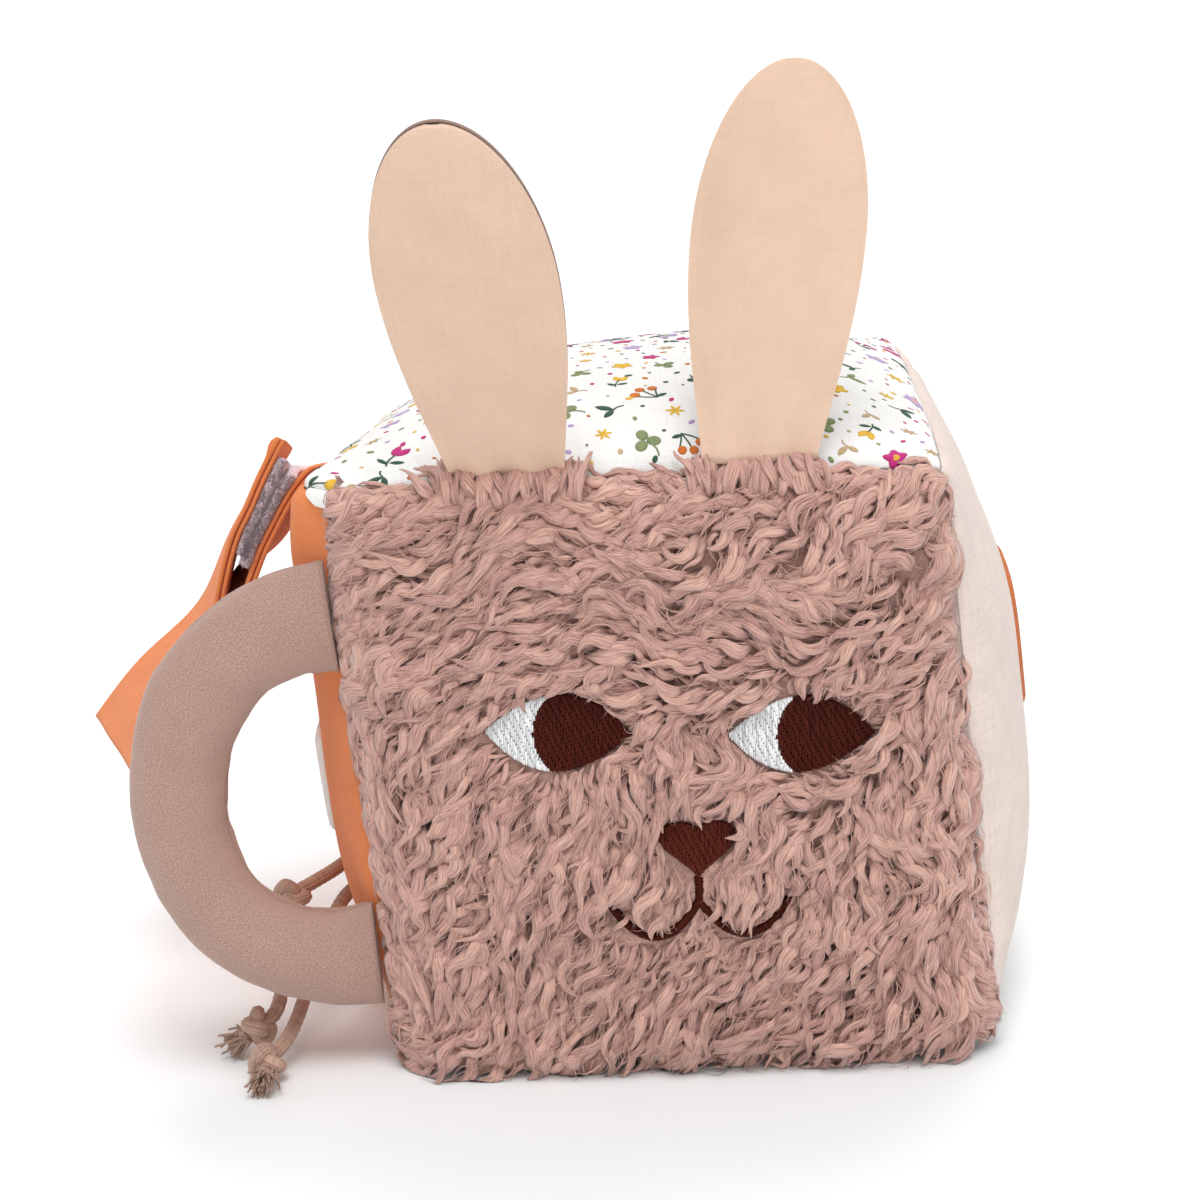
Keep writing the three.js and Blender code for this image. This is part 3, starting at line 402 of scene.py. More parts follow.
def start_material(name):
    """An empty node material with its output."""
    material = bpy.data.materials.new(name)
    material.use_nodes = True
    tree = material.node_tree
    tree.nodes.clear()
    return material, tree, node(tree, "ShaderNodeOutputMaterial")


def place_mark(tree):
    """The place along the cloth, thread or lock that each point of a mesh carries."""
    return node(tree, "ShaderNodeAttribute", attribute_name="place").outputs["Vector"]


def noise(tree, place, scale, detail=2.0, distortion=0.0):
    """Cloudy noise from 0 to 1."""
    inputs = {"Vector": place, "Scale": scale, "Detail": detail, "Distortion": distortion}
    return node(tree, "ShaderNodeTexNoise", inputs).outputs["Fac"]


def stretched(tree, place, across, along, detail=2.0):
    """Streaky noise, drawn out where its scale is low."""
    mapping = node(tree, "ShaderNodeMapping", {"Vector": place, "Scale": (across, along, across)})
    return noise(tree, mapping.outputs[0], 1.0, detail)


def times(tree, value, factor):
    return math_node(tree, "MULTIPLY", value, factor)


def plus(tree, first, second):
    return math_node(tree, "ADD", first, second)


def shade(colour, share):
    """A colour made lighter or darker."""
    return tuple(min(1.0, value * share) for value in colour[:3]) + (1.0,)


def spread(tree, value, low, high):
    """A value between 0 and 1, stretched from low to high."""
    return node(tree, "ShaderNodeMapRange", {"Value": value, "From Min": low, "From Max": high}).outputs[0]


def toned(tree, value, low, high, colour, dark_share, light_share):
    """A colour that runs from darker to lighter as a value goes from low to high."""
    return mixed(tree, spread(tree, value, low, high), shade(colour, dark_share), shade(colour, light_share))


def worn(tree, colour, broad, share):
    """A colour with a soft mottle, down to a share of its brightness."""
    tint = toned(tree, broad, 0.3, 0.7, (1, 1, 1), share, 1)
    made = node(tree, "ShaderNodeMix", {0: 1.0, 6: colour, 7: tint}, data_type="RGBA", blend_type="MULTIPLY")
    return made.outputs[2]


def finished(started, colour, height, strength, distance, surface):
    """A material with its colour, its fine relief and its surface values."""
    material, tree, output = started
    bump = node(tree, "ShaderNodeBump", {"Height": height, "Strength": strength, "Distance": distance})
    inputs = {"Base Color": colour, "Normal": bump.outputs[0], **surface}
    tree.links.new(node(tree, "ShaderNodeBsdfPrincipled", inputs).outputs[0], output.inputs[0])
    return material


mottle_size = 0.012
cotton_thread = 0.00042
cotton_relief = 0.00016
wave_threads = 20
slub_width = 1.6
slub_length = 22
# Depths of the fine relief, and how many waves of fine noise lie along a metre
relief = {
    "fine_cotton": 0.0001, "brushed": 0.00022, "plush": 0.0003, "thread": 0.00006, "tape": 0.0004,
    "fluff": 0.001, "cord": 0.0005, "film": 0.0006, "plastic": 0.0001,
}
grain = {
    "fleck": 2600.0, "fibre": 5200.0, "wear": 90.0, "lock_across": 5200.0, "lock_along": 240.0,
    "loops": 1500.0, "tape_wear": 420.0, "tangle": 320.0, "crease": 240.0,
}
lock_grains = 50.0
cord_yarn = 0.0009


def cotton(
    name, colour, thread=cotton_thread, depth=cotton_relief, slub_share=0.07, mottle_share=0.035,
):
    """Plain woven cotton: crossing threads, uneven slubs and a soft mottle."""
    started = start_material(name)
    tree = started[1]
    place = place_mark(tree)
    scale = 2 * math.pi / (wave_threads * thread)
    wave = {"Vector": place, "Scale": scale, "Distortion": 0.6, "Detail": 1.0}
    weft, warp = (
        node(tree, "ShaderNodeTexWave", wave, bands_direction=direction).outputs["Fac"] for direction in "XY"
    )
    weave = plus(tree, times(tree, weft, warp), times(tree, weft, 0.4))
    fine, drawn = 1 / (thread * slub_width), 1 / (thread * slub_length)
    slub = plus(tree, stretched(tree, place, fine, drawn), stretched(tree, place, drawn, fine))
    broad = stretched(tree, place, 1 / mottle_size, 1 / mottle_size, 3.0)
    light = toned(tree, slub, 0.7, 1.3, colour, 1 - slub_share, 1 + slub_share)
    height = plus(tree, times(tree, weave, 0.7), slub)
    return finished(started, worn(tree, light, broad, 1 - mottle_share * 2), height, 0.55, depth, {
        "Roughness": 0.9, "Sheen Weight": 0.12, "Sheen Roughness": 0.5, "Specular IOR Level": 0.12,
    })


def brushed(name, colour):
    """Brushed cotton: a fine fleck of light and dark fibres, without a visible weave."""
    started = start_material(name)
    tree = started[1]
    place = place_mark(tree)
    fleck = noise(tree, place, grain["fleck"])
    fine = noise(tree, place, grain["fibre"], 1.0)
    broad = noise(tree, place, grain["wear"])
    speckled = plus(tree, times(tree, fleck, 0.7), times(tree, fine, 0.3))
    tone = toned(tree, speckled, 0.34, 0.66, colour, 0.70, 1.32)
    return finished(started, worn(tree, tone, broad, 0.93), speckled, 0.6, relief["brushed"], {
        "Roughness": 0.95, "Sheen Weight": 0.3, "Sheen Roughness": 0.5, "Specular IOR Level": 0.08,
    })


def plush(name, light, dark):
    """Locks of long soft pile: fine fibres along each lock, with painted shade low in the pile and in the
    grooves between fibres.
    """
    started = start_material(name)
    tree = started[1]
    share = node(tree, "ShaderNodeAttribute", attribute_name="share").outputs["Fac"]
    across, along, chance = node(tree, "ShaderNodeSeparateXYZ", {"Vector": place_mark(tree)}).outputs
    fine = node(tree, "ShaderNodeCombineXYZ", {
        0: times(tree, across, grain["lock_across"]),
        1: times(tree, along, grain["lock_along"]),
        2: times(tree, chance, lock_grains),
    }).outputs[0]
    fibre = noise(tree, fine, 1.0, 3.0)
    # Painted shade: points low in the pile, by the share they carry, take a darker copy of the shaded
    # colour.
    body = mixed(tree, spread(tree, share, 0.0, 0.42), shade(dark, 0.45), light)
    varied = node(tree, "ShaderNodeHueSaturation", {
        "Hue": plus(tree, times(tree, chance, 0.012), 0.494),
        "Value": plus(tree, times(tree, chance, 0.18), 0.91),
        # Painted shade in the grooves between fibres, where the fibre relief is low.
        "Color": mixed(tree, spread(tree, fibre, 0.28, 0.56), dark, body),
    }).outputs[0]
    return finished(started, varied, fibre, 0.75, relief["plush"], {
        "Roughness": 0.9, "Sheen Weight": 0.45, "Sheen Roughness": 0.45, "Specular IOR Level": 0.12,
    })


thread_twist = 0.0007


def thread(name, colour, roughness=0.42):
    """Embroidery thread with a twist and a soft gloss."""
    started = start_material(name)
    tree = started[1]
    around, along, chance = node(tree, "ShaderNodeSeparateXYZ", {"Vector": place_mark(tree)}).outputs
    turn = plus(tree, times(tree, around, 2 * math.pi * 2), times(tree, along, 2 * math.pi / thread_twist))
    tone = mixed(tree, chance, shade(colour, 0.82), shade(colour, 1.18))
    return finished(started, tone, math_node(tree, "SINE", turn), 0.5, relief["thread"], {
        "Roughness": roughness, "Specular IOR Level": 0.08,
    })


def loop_tape(name, colour):
    """Hook-and-loop tape: a mat of tiny loops."""
    started = start_material(name)
    tree = started[1]
    place = place_mark(tree)
    mat = node(tree, "ShaderNodeTexVoronoi", {"Vector": place, "Scale": grain["loops"]}, feature="SMOOTH_F1")
    broad = noise(tree, place, grain["tape_wear"], 3.0)
    height = plus(tree, times(tree, mat.outputs["Distance"], -1.0), broad)
    tone = toned(tree, broad, 0.35, 0.65, colour, 0.8, 1.12)
    return finished(started, tone, height, 0.9, relief["tape"], {
        "Roughness": 0.7, "Sheen Weight": 0.5, "Sheen Roughness": 0.35,
    })


def fluff(name, colour):
    """Loose fibre filling."""
    started = start_material(name)
    tree = started[1]
    tangle = noise(tree, node(tree, "ShaderNodeTexCoord").outputs["Object"], grain["tangle"], 6.0, 1.5)
    tone = mixed(tree, tangle, shade(colour, 0.9), colour)
    return finished(started, tone, tangle, 0.8, relief["fluff"], {"Roughness": 0.95, "Sheen Weight": 0.4})


def film(name, colour, roughness, depth):
    """Smooth or crinkled plastic."""
    started = start_material(name)
    tree = started[1]
    crease = noise(tree, node(tree, "ShaderNodeTexCoord").outputs["Object"], grain["crease"], 4.0)
    tone = mixed(tree, crease, shade(colour, 0.94), colour)
    return finished(started, tone, crease, 0.3, depth, {"Roughness": roughness})


plush_light = (0.690, 0.412, 0.346, 1.0)
# The plush's colour in shade, used for painted shade in the pile and on its backing.
plush_shade = (0.255, 0.130, 0.104, 1.0)
beige = (0.790, 0.558, 0.420, 1.0)
taupe = (0.440, 0.280, 0.230, 1.0)
# A darker copy of the taupe cotton for the ears' backs: painted shade.
shaded_ear_back_taupe = (0.330, 0.215, 0.175, 1.0)
orange = (0.820, 0.250, 0.086, 1.0)
cream = (0.810, 0.680, 0.615, 1.0)
white = (0.880, 0.870, 0.850, 1.0)
terracotta = (0.560, 0.165, 0.055, 1.0)
sage = (0.120, 0.130, 0.090, 1.0)
# Raised in brightness to lift the flap's tapes out of the shade between the leaves: partly the tape's own
# pale lilac, partly painted light.
lilac = (0.880, 0.730, 0.790, 1.0)
cord_colour = (0.555, 0.365, 0.280, 1.0)
brown = (0.072, 0.0120, 0.0068, 1.0)
# A lighter copy of the brown thread for the nose: painted light.
lit_nose_brown = (0.110, 0.0200, 0.0110, 1.0)
thread_white = (0.860, 0.860, 0.880, 1.0)
filling_white = (0.86, 0.85, 0.82, 1.0)
film_grey = (0.80, 0.80, 0.78, 1.0)
shell_grey = (0.78, 0.76, 0.70, 1.0)

looks = {
    "plush": plush("plush", plush_light, plush_shade),
    # The backing under the pile takes the plush's colour in shade: painted shade.
    "backing": cotton("plush_backing", plush_shade, mottle_share=0.12),
    "beige": cotton("beige_cotton", beige, depth=relief["fine_cotton"], slub_share=0.03),
    "taupe": cotton("taupe_cotton", taupe, slub_share=0.1),
    "brushed": brushed("brushed_cotton", taupe),
    "ear_back": cotton("shaded_ear_back_cotton", shaded_ear_back_taupe),
    "orange": cotton("orange_cotton", orange, slub_share=0.05),
    "cream": cotton("cream_cotton", cream),
    "white": cotton("white_cotton", white, slub_share=0.03, mottle_share=0.02),
    "terracotta": cotton("terracotta_cotton", terracotta),
    "sage": cotton("sage_cotton", sage),
    "lilac": loop_tape("lilac_tape", lilac),
    "cord": cotton("cord_yarn", cord_colour, thread=cord_yarn, depth=relief["cord"], slub_share=0.2),
    "brown_thread": thread("brown_thread", brown),
    "lit_nose_thread": thread("lit_nose_thread", lit_nose_brown),
    "white_thread": thread("white_thread", thread_white, roughness=0.5),
    "fluff": fluff("fibre_filling", filling_white),
    "film": film("crinkle_film", film_grey, 0.25, relief["film"]),
    "plastic": film("rattle_plastic", shell_grey, 0.35, relief["plastic"]),
}


# Stuffed shape of the block, the same as the solids' shape


def swell_left(share, power):
    return 1 - np.minimum(np.abs(share), 1) ** power


def shoulder_swell(across, along, up):
    """The left side's top corner fills out just behind the face, less towards the back and the base."""
    behind = ease((along + half_depth - left_shoulder["start"]) / left_shoulder["run"])
    faded = np.exp(-((along - left_shoulder["place"]) / left_shoulder["spread"]) ** 2)
    return left_shoulder["swell"] * np.minimum(across, 0) * behind * faded * ease(up)


def soften(points, depth):
    """Where the stuffing pushes points of the straight cube."""
    across, along, up = points[:, 0] / half_width, points[:, 1] / half_depth, points[:, 2] / half_height
    side_swell = np.where(across < 0, left_swell, right_swell)
    face_swell = np.where(along < 0, front_swell, back_swell)
    power = np.where(up < 0, base_power, swell_power)
    rise_swell = np.where(up < 0, seam_rise + flattening, top_swell)
    sag = 1 - sag_share * up
    swelling = swell_left(along, swell_power) * swell_left(up, swell_power) * sag
    x = points[:, 0] + side_swell * across * swelling + shoulder_swell(across, points[:, 1], up)
    y = points[:, 1] + face_swell * along * swell_left(across, swell_power) * swell_left(up, swell_power)
    z = points[:, 2] + rise_swell * up * swell_left(across, power) * swell_left(along, power) + middle_rise
    z = z + top_twist * across * ((1 + along) / 2) * np.maximum(up, 0)
    z = np.maximum(np.maximum(z, depth), 0)
    return np.stack([x - lean_share * z, y, z], axis=1)


face_frames = {
    "front": ((0, -1, 0), (1, 0, 0), (0, 0, 1), (half_depth, half_width, half_height)),
    "back": ((0, 1, 0), (1, 0, 0), (0, 0, 1), (half_depth, half_width, half_height)),
    "left": ((-1, 0, 0), (0, 1, 0), (0, 0, 1), (half_width, half_depth, half_height)),
    "right": ((1, 0, 0), (0, 1, 0), (0, 0, 1), (half_width, half_depth, half_height)),
    "top": ((0, 0, 1), (1, 0, 0), (0, 1, 0), (half_height, half_width, half_depth)),
    "bottom": ((0, 0, -1), (1, 0, 0), (0, 1, 0), (half_height, half_width, half_depth)),
}
seam_turn = math.pi / 4 - clearance / 2 / (edge_radius - cloth_thickness)


def face_points(face, side, rise, depth=0.0):
    """Points of a face at distances along its cloth from its middle, under or over it by a depth."""
    out, across, up, (half_out, half_side, half_rise) = face_frames[face]
    flat_side = np.clip(side, edge_radius - half_side, half_side - edge_radius)
    flat_rise = np.clip(rise, edge_radius - half_rise, half_rise - edge_radius)
    side_tan = np.tan(np.clip((side - flat_side) / edge_radius, -seam_turn, seam_turn))
    rise_tan = np.tan(np.clip((rise - flat_rise) / edge_radius, -seam_turn, seam_turn))
    lean = unit(np.stack([np.ones_like(side_tan), side_tan, rise_tan], axis=1))
    lean = lean * (edge_radius - depth)[:, None]
    straight = (
        (half_out - edge_radius + lean[:, 0])[:, None] * np.array(out)
        + (flat_side + lean[:, 1])[:, None] * np.array(across)
        + (flat_rise + lean[:, 2])[:, None] * np.array(up)
    )
    return soften(straight, depth)


def face_grid(face, side, rise, depth=0.0):
    """A grid of a face's points: one row for each rise, one column for each side place."""
    side_places, rise_places = np.meshgrid(side, rise)
    depths = np.broadcast_to(np.asarray(depth, float), side_places.shape).ravel()
    points = face_points(face, side_places.ravel(), rise_places.ravel(), depths)
    return points.reshape(len(rise), len(side), 3)


def grid_normals(points, outward):
    """Normals of a grid of points, on the side that faces outward."""
    normals = unit(np.cross(np.gradient(points, axis=1), np.gradient(points, axis=0)))
    return normals if (normals @ np.asarray(outward, float)).mean() > 0 else -normals


def panel_places(half, count):
    """Places from seam to seam: even steps over the middle and close ones where the cloth turns."""
    flat = half - edge_radius
    turn = np.linspace(flat, flat + edge_radius * seam_turn, 8)[1:]
    return np.concatenate([-turn[::-1], np.linspace(-flat, flat, count), turn])


panel_form = {
    "pucker": 0.0006, "wrinkle": 0.0007, "top_wrinkle": 0.0009, "valley": 0.0009, "pucker_reach": 0.0075,
    "pucker_wave": 0.0042, "wrinkle_wave": 0.024, "rim": 0.004, "seam": 0.001, "valley_reach": 0.0011,
    "floor_gap": 0.00002,
}


class Panel:
    """One sewn face of the block with its puckers and soft wrinkles, and places on it."""

    def __init__(self, face, count, seed, wrinkle=panel_form["wrinkle"]):
        form = panel_form
        self.out = np.array(face_frames[face][0], float)
        half_side, half_rise = face_frames[face][3][1:]
        self.side = panel_places(half_side, count)
        self.rise = panel_places(half_rise, count)
        base = face_grid(face, self.side, self.rise)
        normals = grid_normals(base, self.out)
        side, rise = np.meshgrid(self.side, self.rise)
        from_side = self.side[-1] - np.abs(side)
        from_rise = self.rise[-1] - np.abs(rise)
        seam = np.minimum(from_side, from_rise)
        waves = (
            np.exp(-from_side / form["pucker_reach"]) * line_ripple(rise, form["pucker_wave"], seed)
            + np.exp(-from_rise / form["pucker_reach"]) * line_ripple(side, form["pucker_wave"], seed + 1)
        )
        soft = ripple(base.reshape(-1, 3), form["wrinkle_wave"], seed + 2).reshape(side.shape)
        rim = np.clip(seam / form["rim"], 0, 1)
        lift = form["pucker"] * waves * np.clip(seam / form["seam"], 0, 1) + wrinkle * soft * rim
        lift = lift - form["valley"] * np.exp(-seam / form["valley_reach"])
        if face == "bottom":
            lift = lift * 0
        self.points = base + normals * lift[..., None]
        self.points[..., 2] = np.maximum(self.points[..., 2], form["floor_gap"])
        self.normals = grid_normals(self.points, self.out)
        self.hang = None
        if face == "front":
            self.normals[..., 2] = np.maximum(self.normals[..., 2], -0.2)
            self.normals = unit(self.normals)
            self.hang = np.array([0.0, 0.1, 1.0])
        self.inner = face_grid(face, self.side, self.rise, cloth_thickness)
        self.marks = np.stack([side, rise, np.zeros_like(side)], axis=-1)

    def mesh(self):
        points, quads = slab(self.points, self.inner)
        return points, quads, both_sides(self.marks.reshape(-1, 3))

    def at(self, side, rise, height=0.0):
        """Points over the panel's cloth. Beyond the seam they go straight on."""
        side, rise = np.asarray(side, float), np.asarray(rise, float)
        held_side = np.clip(side, self.side[0], self.side[-1])
        held_rise = np.clip(rise, self.rise[0], self.rise[-1])
        column, row = (
            np.clip(np.interp(held, places, np.arange(len(places))), 0, len(places) - 1.001)
            for held, places in ((held_side, self.side), (held_rise, self.rise))
        )
        c, r = column.astype(int), row.astype(int)
        fc, fr = (column - c)[..., None], (row - r)[..., None]

        def between(grid):
            low = grid[r, c] * (1 - fc) + grid[r, c + 1] * fc
            high = grid[r + 1, c] * (1 - fc) + grid[r + 1, c + 1] * fc
            return low * (1 - fr) + high * fr

        place, normal = between(self.points), unit(between(self.normals))
        side_step = unit(self.points[r, c + 1] - self.points[r, c])
        rise_step = unit(self.points[r + 1, c] - self.points[r, c])
        if self.hang is not None:
            rise_step = np.where((rise < held_rise)[..., None], self.hang, rise_step)
        place = place + side_step * (side - held_side)[..., None] + rise_step * (rise - held_rise)[..., None]
        return place + normal * np.broadcast_to(height, side.shape)[..., None]


panels = {
    "front": Panel("front", 64, 11),
    "back": Panel("back", 64, 12),
    "left": Panel("left", 64, 13),
    "right": Panel("right", 64, 14),
    "top": Panel("top", 64, 15, panel_form["top_wrinkle"]),
    "bottom": Panel("bottom", 40, 16),
}


def on_face(x, z, height):
    """Points over the face's cloth, from their true place across and height over the floor."""
    return panels["front"].at(x + lean_share * z, z - middle_rise, height)


add_camera()


# Cords: two strands that leave the left side through stitched eyelets and end in knots

middle_knot_point = (-0.0966, -0.0335, 0.0313)
upper_knot_point = (-0.1032, -0.058, 0.0082)
lower_knot_point = (-0.0999, -0.071, 0.00475)
upper_route = [
    (-0.0832, -0.0052, 0.0309), (-0.0853, -0.009, 0.0312), (-0.0866, -0.0125, 0.0315),
    (-0.088, -0.017, 0.0318), (-0.0898, -0.022, 0.0321), (-0.0926, -0.0275, 0.0321), middle_knot_point,
    (-0.0992, -0.0385, 0.0272), (-0.0994, -0.0425, 0.0222), (-0.0989, -0.0465, 0.0169),
    (-0.0987, -0.0505, 0.0127), (-0.100, -0.0545, 0.0096), upper_knot_point,
]
lower_route = [
    (-0.0806, -0.0015, 0.0224), (-0.082, -0.005, 0.0232), (-0.084, -0.0095, 0.0244),
    (-0.0857, -0.017, 0.025), (-0.0869, -0.022, 0.0246), (-0.0883, -0.028, 0.0231),
    (-0.0898, -0.034, 0.0206), (-0.0912, -0.039, 0.0178), (-0.0923, -0.044, 0.0148),
    (-0.0931, -0.0495, 0.012), (-0.094, -0.055, 0.0096), (-0.0953, -0.0605, 0.0075),
    (-0.0971, -0.065, 0.0059), lower_knot_point,
]


braid = {"sides": 16, "ridges": 4, "lay": 0.0042, "depth": 0.00016}
frayed_end = {
    "yarns": 54, "fan_share": 0.25, "shortest": 0.0045, "longest": 0.0072, "off_middle": 0.0009,
    "bend": 0.0009, "root_radius": 0.00040, "tip_radius": 0.00026, "floor_gap": 0.0003,
}
knot_collar = {"start": -0.001, "end": 0.0022, "floor_gap": 0.0015, "width_share": 0.92}
knot_floor_gap = 0.00005
eyelet_stitch = {"count": 40, "start_share": 0.52, "base": 0.0004, "rise": 0.0011, "radius": 0.00033}


def braided(path, diameter):
    """A round braid: ridges that wind both ways round the cord."""
    sides = braid["sides"]
    points, quads, marks = tube(path, diameter / 2, sides)
    length = marks[:, 1] * 2 * math.pi / braid["lay"]
    angle = marks[:, 0] * 2 * math.pi * braid["ridges"]
    woven = np.cos(angle + length) * np.cos(angle - length)
    hub_count = 2
    centre = np.concatenate([np.repeat(path, sides, axis=0), path[[0, -1]]])
    outward = unit(points - centre)
    lift = braid["depth"] * woven
    lift[-hub_count:] = 0
    marks = marks * np.array([math.pi * diameter, 1, 1])
    return points + outward * lift[:, None], quads, marks


def overhand(radius, count):
    """The line of a pulled-tight overhand knot round its middle, with X as the cord's direction."""
    turn = np.linspace(0, 2 * math.pi, count, endpoint=False)
    x = np.sin(turn) + 2 * np.sin(2 * turn)
    y = np.cos(turn) - 2 * np.cos(2 * turn)
    z = -np.sin(3 * turn)
    knot = np.stack([x, y, z * 1.15], axis=1)
    return knot / 3 * radius


def add_knot(name, centre, toward, node_name, frayed, seed):
    """A tight knot of the same cord, with its end fanned out into yarns where it is frayed."""
    chance = np.random.default_rng(seed)
    direction = unit(np.array(toward, float))
    side = unit(np.cross(direction, (0.3, 0.2, 0.9)))
    rise = np.cross(side, direction)
    turned = np.stack([rise, side, direction], axis=1)
    wrap = knot_diameter / 2 - cord_diameter / 2
    line = overhand(wrap * 1.12, 60)
    line = line @ turned.T + np.array(centre)
    line[:, 2] = np.maximum(line[:, 2], cord_diameter / 2)
    parts = [braided(np.concatenate([line, line[:2]]), cord_diameter)]
    if frayed:
        start = np.array(centre) + direction * wrap
        end = frayed_end
        steps, sides = 6, 6
        shares = np.linspace(0, 1, steps)[:, None]
        radii = np.linspace(end["root_radius"], end["tip_radius"], steps)
        for _ in range(end["yarns"]):
            spread_out = unit(direction + chance.normal(0, end["fan_share"], 3))
            reach = chance.uniform(end["shortest"], end["longest"])
            begin = start + np.cross(direction, chance.normal(0, 1, 3)) * end["off_middle"]
            bend = chance.normal(0, end["bend"], 3)
            yarn = begin + spread_out * reach * shares + bend * shares ** 2
            yarn[:, 2] = np.maximum(yarn[:, 2], end["floor_gap"])
            parts.append(tube(yarn, radii, sides))
        collar = start + direction * np.linspace(knot_collar["start"], knot_collar["end"], 5)[:, None]
        collar[:, 2] = np.maximum(collar[:, 2], knot_collar["floor_gap"])
        parts.append(braided(collar, cord_diameter * knot_collar["width_share"]))
    points, quads, marks = joined(parts)
    points[:, 2] = np.maximum(points[:, 2], knot_floor_gap)
    return add_piece(name, points, quads, looks["cord"], "block", [node_name], marks)


def add_eyelet(name, centre, node_name):
    """A stitched ring in the side's cloth round a cord, over a puffed disc."""
    side, rise = centre[1], centre[2] - middle_rise
    parts = []
    half, stitch = eyelet_diameter / 2, eyelet_stitch
    start = stitch["start_share"]
    shares = np.linspace(start, 1.0, 7)
    height = stitch["base"] + stitch["rise"] * np.sin((shares - start) / (1 - start) * math.pi)
    for index, angle in enumerate(np.linspace(0, 2 * math.pi, stitch["count"], endpoint=False)):
        along = side + half * shares * np.cos(angle)
        drawn = panels["left"].at(along, rise + half * shares * np.sin(angle), height)
        points, quads, marks = tube(drawn, stitch["radius"], 6, seed_direction=(1, 0, 0))
        marks[:, 2] = (index * 37 % 10) / 10
        parts.append((points, quads, marks))
    points, quads, marks = joined(parts)
    look = looks["terracotta_thread"]
    return add_piece(name, points, quads, look, "block", [node_name], marks)


looks["terracotta_thread"] = thread("terracotta_thread", terracotta, roughness=0.6)


def add_cords():
    """Both strands, their knots and their eyelets."""
    upper_path = smooth_path(upper_route, 90)
    lower_path = smooth_path(lower_route, 90)
    knots = [
        add_knot(f"knot_{place}", centre, toward, f"cord_{place}_knot", frayed, seed)
        for place, centre, toward, frayed, seed in (
            ("middle", middle_knot_point, (-0.5, -0.4, -0.7), False, 5),
            ("upper", upper_knot_point, (-0.8, 0.1, -0.5), True, 6),
            ("lower", lower_knot_point, (0, -0.98, -0.19), True, 7),
        )
    ]
    strands = [
        ("strand_upper", upper_path, ["cord_upper", "cord_upper_end"], knots[:2]),
        ("strand_lower", lower_path, ["cord_lower"], knots[2:]),
    ]
    for name, path, nodes, on_it in strands:
        points, quads, marks = braided(path, cord_diameter)
        piece = add_piece(name, points, quads, looks["cord"], "block", nodes, marks)
    add_eyelet("eyelet_upper", upper_route[1], "cord_upper_eyelet")
    add_eyelet("eyelet_lower", lower_route[1], "cord_lower_eyelet")


add_cords()


# Cloth of the block


def add_panels():
    """The six sewn faces."""
    kinds = {
        "front": ("backing", "plush_backing", "front_backing"),
        "top": ("white", "printed_cotton", "top_panel"),
        "left": ("orange", "orange_cotton", "left_panel"),
        "right": ("cream", "cream_cotton", "right_panel"),
        "back": ("taupe", "taupe_cotton", "back_panel"),
        "bottom": ("sage", "sage_cotton", "bottom_panel"),
    }
    for face, (look, slot, node_name) in kinds.items():
        points, quads, marks = panels[face].mesh()
        add_piece(f"{face}_cloth", points, quads, looks[look], "block", [node_name], marks)


add_panels()


# Printed cloth: a loose scatter of small blossoms, buds, berries, clovers and dots

print_colours = {
    "green": (0.045, 0.105, 0.060, 1.0),
    "sage": (0.230, 0.290, 0.130, 1.0),
    "yellow": (0.800, 0.480, 0.045, 1.0),
    "orange": (0.640, 0.175, 0.035, 1.0),
    "magenta": (0.560, 0.035, 0.220, 1.0),
    "lilac": (0.520, 0.370, 0.640, 1.0),
    "tan": (0.560, 0.400, 0.230, 1.0),
}
print_lift = 0.00009
stem_width = 0.00032
print_margin = 0.0012
motif_distance = 0.0088
motif_room = 0.0047
speck_distance = 0.0042
speck_radii = (0.0003, 0.0006)


def round_shape(x, y, radius, wave=0, depth=0.0, stretch=1.0, turn=0.0):
    """A disc, or a blossom where its edge waves, as (middle, outline)."""
    count = max(14, wave * 6)
    angle = np.linspace(0, 2 * math.pi, count, endpoint=False)
    reach = radius * (1 + depth * np.cos(wave * angle))
    flat = np.stack([reach * np.cos(angle) * stretch, reach * np.sin(angle)], axis=1)
    return np.array([x, y]), flat @ turned_by(turn).T + (x, y)


def leaf_shape(x, y, length, width, turn):
    """A pointed leaf that starts at a place and points along a turn."""
    share = np.linspace(0, 1, 8)
    half = width / 2 * np.sin(math.pi * share) ** 0.8
    upper = np.stack([share * length, half], axis=1)
    outline = np.concatenate([upper, upper[-2:0:-1] * (1, -1)])
    outline = outline @ turned_by(turn).T + (x, y)
    return outline.mean(axis=0), outline


def stem_shape(x, y, length, bend, turn):
    """A thin curved stem."""
    share = np.linspace(0, 1, 9)
    line = np.stack([share * length, bend * share * (1 - share) * 4], axis=1)
    side = unit(np.stack([-np.gradient(line[:, 1]), np.gradient(line[:, 0])], axis=1)) * stem_width / 2
    line, side = line @ turned_by(turn).T + (x, y), side @ turned_by(turn).T
    return "strip", np.stack([line + side, line - side], axis=1)


def turned_by(angle):
    return np.array([[math.cos(angle), -math.sin(angle)], [math.sin(angle), math.cos(angle)]])


def blossom(petal, eye):
    """A five-petalled blossom with a round eye."""
    petal_reach, eye_radius = 0.0020, 0.0007
    return [(petal, round_shape(0, 0, petal_reach, 5, 0.22)), (eye, round_shape(0, 0, eye_radius))]


